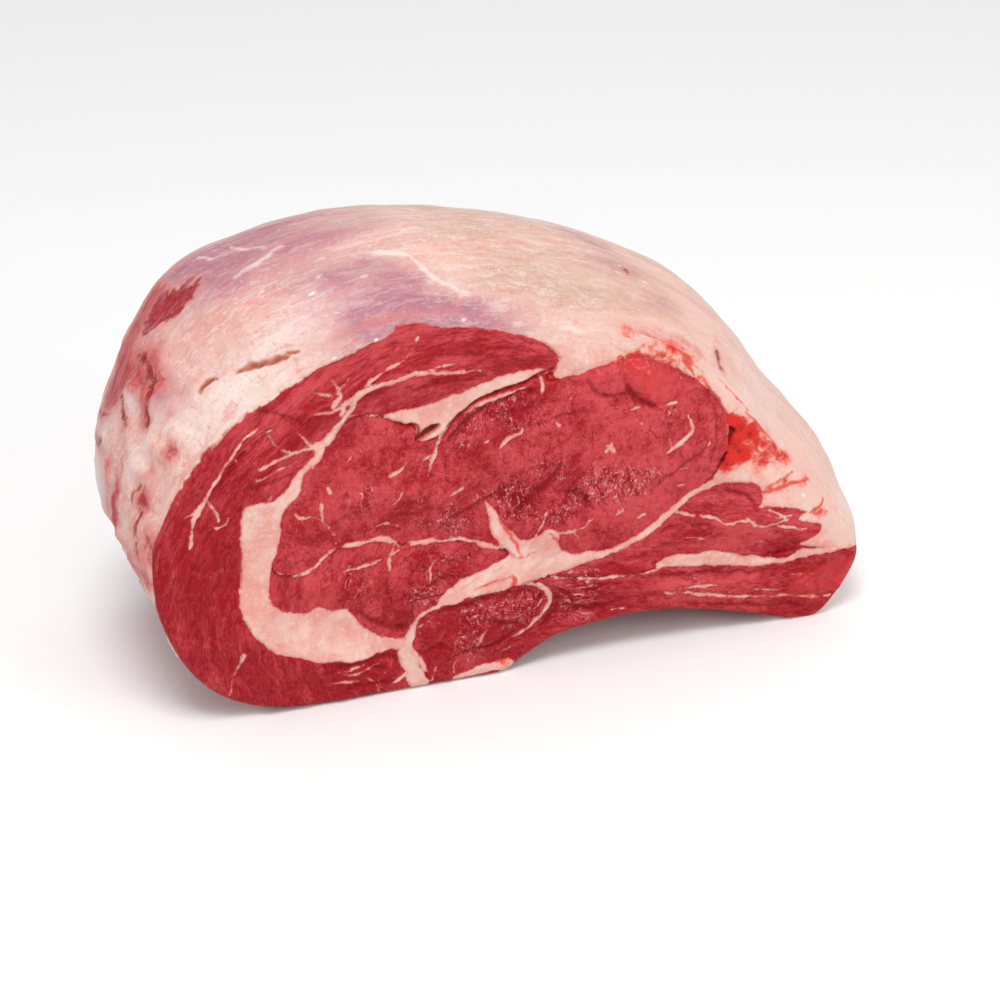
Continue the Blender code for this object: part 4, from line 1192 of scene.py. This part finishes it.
def outside_finish():
    """The outside: streaked fat with silverskin, pink and tan patches, and lean where it is bare."""
    finish = Finish("fat_cap")
    lay = finish.field("lay", vector=True)
    fat, blood, crease, pale = (finish.field(n) for n in ("fat", "blood", "creased", "pale"))
    skin, white, raw, near_cut = (finish.field(n) for n in ("skin", "white", "raw", "near_cut"))
    lean, lean_height, wet, glint = lean_look(finish, finish.stretch(lay, (0.5, 1, 1)), raw * 0 - 0.5, raw * 0 + 0.25)
    base, height, streaks, threads, grit, bands = cap_fat(finish, lay, 1 - finish.field("calm") * 0.7)

    torn = (streaks - 0.5) * 5 + (grit - 0.5) * 3.4
    rosy = (raw + torn * 0.24).between(0.05, 0.6)
    base = finish.mix(rosy * 0.88, base, colour("pink_fat"))
    base = finish.mix((raw + torn * 0.3).between(0.42, 0.95) * 0.85, base,
                      finish.mix(streaks.between(0.4, 0.6), colour("dark_lean"), colour("lean")))
    fray = torn * (1 - near_cut * 0.85)
    is_lean = (fat + fray).between(0.6, -0.9)
    base = finish.mix((fat + fray).between(3.0, 0.3) * 0.5, base, colour("pink_fat"))
    veiled = finish.mix(threads.between(0.52, 0.62) * (1 - near_cut) * 0.55, lean, colour("silverskin"))
    base = finish.mix(is_lean * 0.95, base, veiled)
    # Painted shadow in the creases of the fat: an orange-brown band, with the dark slit shade in the middle of each
    # crease
    base = finish.mix((crease + fray * 0.12).between(-0.7, 0.0) * 0.9, base, colour("crease"))
    base = finish.mix((crease + fray * 0.1).between(-0.05, 0.4) * 0.6, base, colour("gap"))
    base = finish.mix((pale + fray * 0.2).between(-0.8, 0.4) * 0.6, base, colour("white_fat"))
    spread = blood + (finish.grains(lay, 420, 3, 0.6) - 0.5) * 0.9
    smear = spread.between(0.3, 0.9)
    base = finish.mix(spread.between(0.05, 0.5) * 0.8, base, colour("thin_blood"))
    base = finish.mix(smear * 0.9, base, colour("blood"))
    finish.fill(finish.shader, {
        "Base Color": base,
        "Roughness": 0.47 - skin * 0.08 - white * 0.12 - smear * 0.2 - is_lean * 0.05 - bands.between(0.5, 0.7) * 0.12,
        "Coat Weight": 0.1 + skin * 0.15 + white * 0.4 + smear * 0.4 + wet * is_lean * 0.4,
        "Normal": finish.bump(height + is_lean * lean_height * 0.8, 1.0, 0.001),
    })
    return wet_body(finish)


# ---------------------------------------------------------------- settings and operators


def colour_setting(name, description, default):
    return FloatVectorProperty(name=name, description=description, default=default,
                               subtype="COLOR", size=3, min=0, max=1)


class RoastSizes(PropertyGroup):
    muscle_bulge: FloatProperty(name="Muscle bulge", unit="LENGTH", default=3.2 * MM, precision=4,
                                description="How far a muscle stands out between its seams")
    muscle_shoulder: FloatProperty(name="Muscle shoulder", unit="LENGTH", default=11 * MM, precision=4,
                                   description="How far from a seam a muscle reaches its height")
    fibre_relief: FloatProperty(name="Fibre relief", unit="LENGTH", default=0.3 * MM, precision=5,
                                description="Height of the fine relief of cut lean")
    slit_depth: FloatProperty(name="Slit depth", unit="LENGTH", default=2.2 * MM, precision=4,
                              description="Depth of the dark slits between muscles")
    lumps: FloatProperty(name="Lumps", unit="LENGTH", default=1 * MM, precision=4,
                         description="Height of the unevenness of the fat cap")


class RoastColours(PropertyGroup):
    lean: colour_setting("Lean", "Cut lean in the light places", (0.535, 0.060, 0.069))
    dark_lean: colour_setting("Dark lean", "Cut lean in the dark places", (0.300, 0.008, 0.014))
    # Painted shade: the dark red put into the hollows, cracks and folds of cut lean
    lean_shade: colour_setting("Lean shade", "Painted shade in the hollows, cracks and folds of cut lean", (0.202, 0.003, 0.007))
    # Painted highlight on the ridges of curled fibres
    ridge_highlight: colour_setting("Ridge highlight", "Painted highlight on the ridges of wet fibres", (0.600, 0.130, 0.130))
    # Painted glints on ruffled wet fibres
    glint: colour_setting("Glint", "Painted glints of moisture on ruffled fibres", (0.74, 0.46, 0.46))
    bright_lean: colour_setting("Bright lean", "Lean wet with blood", (0.540, 0.020, 0.022))
    face_fat: colour_setting("Face fat", "Fat between the muscles", (0.672, 0.311, 0.252))
    pale_fat: colour_setting("Pale fat", "Fat where it is thick", (0.731, 0.479, 0.412))
    pink_fat: colour_setting("Pink fat", "Thin fat over lean", (0.622, 0.218, 0.197))
    cream_fat: colour_setting("Cream fat", "Fat of the cap", (0.680, 0.470, 0.395))
    white_fat: colour_setting("White fat", "Specks and ridges of the cap", (0.785, 0.685, 0.640))
    tan_fat: colour_setting("Tan fat", "Drier fat along the top", (0.540, 0.350, 0.268))
    silverskin: colour_setting("Silverskin", "The violet skin under the cap fat", (0.385, 0.150, 0.210))
    blood: colour_setting("Blood", "Fresh blood on fat", (0.60, 0.010, 0.007))
    thin_blood: colour_setting("Thin blood", "Blood washed over the fat", (0.74, 0.14, 0.09))
    # Painted shade in slits and in the middle of creases, and the dark core of thick blood
    gap: colour_setting("Slit", "Painted shade in slits and creases, and the dark core of thick blood", (0.170, 0.008, 0.010))
    # Painted shadow in the creases of the fat cap
    crease: colour_setting("Crease", "The shadow in a fold of fat", (0.40, 0.075, 0.025))


class RoastStage(PropertyGroup):
    camera_turn: FloatProperty(name="Camera turn", subtype="ANGLE", default=math.radians(-19.5),
                               description="How far round to the left of the front cut the camera stands")
    camera_height: FloatProperty(name="Camera elevation", subtype="ANGLE", default=math.radians(27.2),
                                 description="How far above the floor the camera looks down from")
    lens: FloatProperty(name="Lens", description="Focal length in millimetres", default=89.06)
    key: FloatProperty(name="Key light", description="Power of the key light", default=9.6, unit="POWER")
    fill: FloatProperty(name="Fill light", description="Power of the fill light", default=4.8, unit="POWER")
    world: FloatProperty(name="World", description="Brightness of the surroundings", default=0.74)
    floor: colour_setting("Floor", "Colour of the floor", (0.9, 0.9, 0.9))


class ROAST_OT_front_cut(Operator):
    """Models the front cut face"""
    bl_idname = "roast.front_cut"
    bl_label = "Front cut"

    def execute(self, context):
        finish_piece(cut_face("front_cut", False, 0), face_finish())
        return {"FINISHED"}


class ROAST_OT_back_cut(Operator):
    """Models the back cut face"""
    bl_idname = "roast.back_cut"
    bl_label = "Back cut"

    def execute(self, context):
        finish_piece(cut_face("back_cut", True, 60), bpy.data.materials["cut_beef"])
        return {"FINISHED"}


class ROAST_OT_outside(Operator):
    """Models the fat cap and the rib side"""
    bl_idname = "roast.outside"
    bl_label = "Fat cap and rib side"

    def execute(self, context):
        finish_piece(outside_shell("fat_cap"), outside_finish())
        return {"FINISHED"}


def area_light(name, place, towards, size, power, tint=(1, 1, 1)):
    bpy.ops.object.light_add(type="AREA", location=place)
    light = bpy.context.object
    light.name = light.data.name = name
    light.data.shape, light.data.size = "DISK", size
    light.data.energy, light.data.color = power, tint
    light.rotation_euler = (Vector(place) - Vector(towards)).to_track_quat("Z", "Y").to_euler()


class ROAST_OT_stage(Operator):
    """Sets up the floor, the lights and the camera"""
    bl_idname = "roast.stage"
    bl_label = "Stage"

    def execute(self, context):
        stage = context.scene.roast_stage
        floor = new_piece("floor", bpy.ops.mesh.primitive_plane_add, size=30)
        paper = Finish("floor_paper")
        tint = paper.mix(paper.grains(paper.place(), 30, 3), stage.floor, [c * 0.995 for c in stage.floor])
        paper.fill(paper.shader, {"Base Color": tint, "Roughness": 0.9})
        floor.data.materials.append(paper.material)

        middle = (0, 0, 0.06)
        area_light("key", (-0.25, -0.55, 1.3), middle, 0.55, stage.key)
        area_light("fill", (0.8, -1.1, 0.7), middle, 0.8, stage.fill)

        world = bpy.data.worlds.new("studio")
        world.use_nodes = True
        world.node_tree.nodes["Background"].inputs["Color"].default_value = (1, 1, 1, 1)
        world.node_tree.nodes["Background"].inputs["Strength"].default_value = stage.world
        context.scene.world = world
        context.scene.view_settings.view_transform = "Standard"

        turn, height = stage.camera_turn, stage.camera_height
        back = Vector((math.sin(turn) * math.cos(height), -math.cos(turn) * math.cos(height),
                       math.sin(height)))
        bpy.ops.object.camera_add(location=(-0.2492, -0.7272, 0.4370),
                                  rotation=back.to_track_quat("Z", "Y").to_euler())
        camera = context.object
        camera.name = camera.data.name = "camera"
        camera.data.lens, camera.data.sensor_width = stage.lens, 36
        context.scene.camera = camera
        return {"FINISHED"}


class ROAST_PT_panel(Panel):
    """Sizes, colours and pieces of the roast"""
    bl_label = "Beef rib roast"
    bl_idname = "ROAST_PT_panel"
    bl_space_type = "VIEW_3D"
    bl_region_type = "UI"
    bl_category = "Roast"

    def draw(self, context):
        for settings in (context.scene.roast_sizes, context.scene.roast_colours,
                         context.scene.roast_stage):
            box = self.layout.box()
            for name in settings.bl_rna.properties.keys():
                if name not in ("rna_type", "name"):
                    box.prop(settings, name)
        for operator in OPERATORS:
            self.layout.operator(operator.bl_idname)


OPERATORS = (ROAST_OT_front_cut, ROAST_OT_back_cut, ROAST_OT_outside, ROAST_OT_stage)
CLASSES = (RoastSizes, RoastColours, RoastStage, *OPERATORS, ROAST_PT_panel)


def register():
    for kind in CLASSES:
        bpy.utils.register_class(kind)
    bpy.types.Scene.roast_sizes = PointerProperty(type=RoastSizes)
    bpy.types.Scene.roast_colours = PointerProperty(type=RoastColours)
    bpy.types.Scene.roast_stage = PointerProperty(type=RoastStage)


def unregister():
    del bpy.types.Scene.roast_stage, bpy.types.Scene.roast_colours, bpy.types.Scene.roast_sizes
    for kind in reversed(CLASSES):
        bpy.utils.unregister_class(kind)


def main():
    register()
    bpy.ops.roast.front_cut()
    bpy.ops.roast.back_cut()
    bpy.ops.roast.outside()
    bpy.ops.roast.stage()


if __name__ == "__main__":
    main()
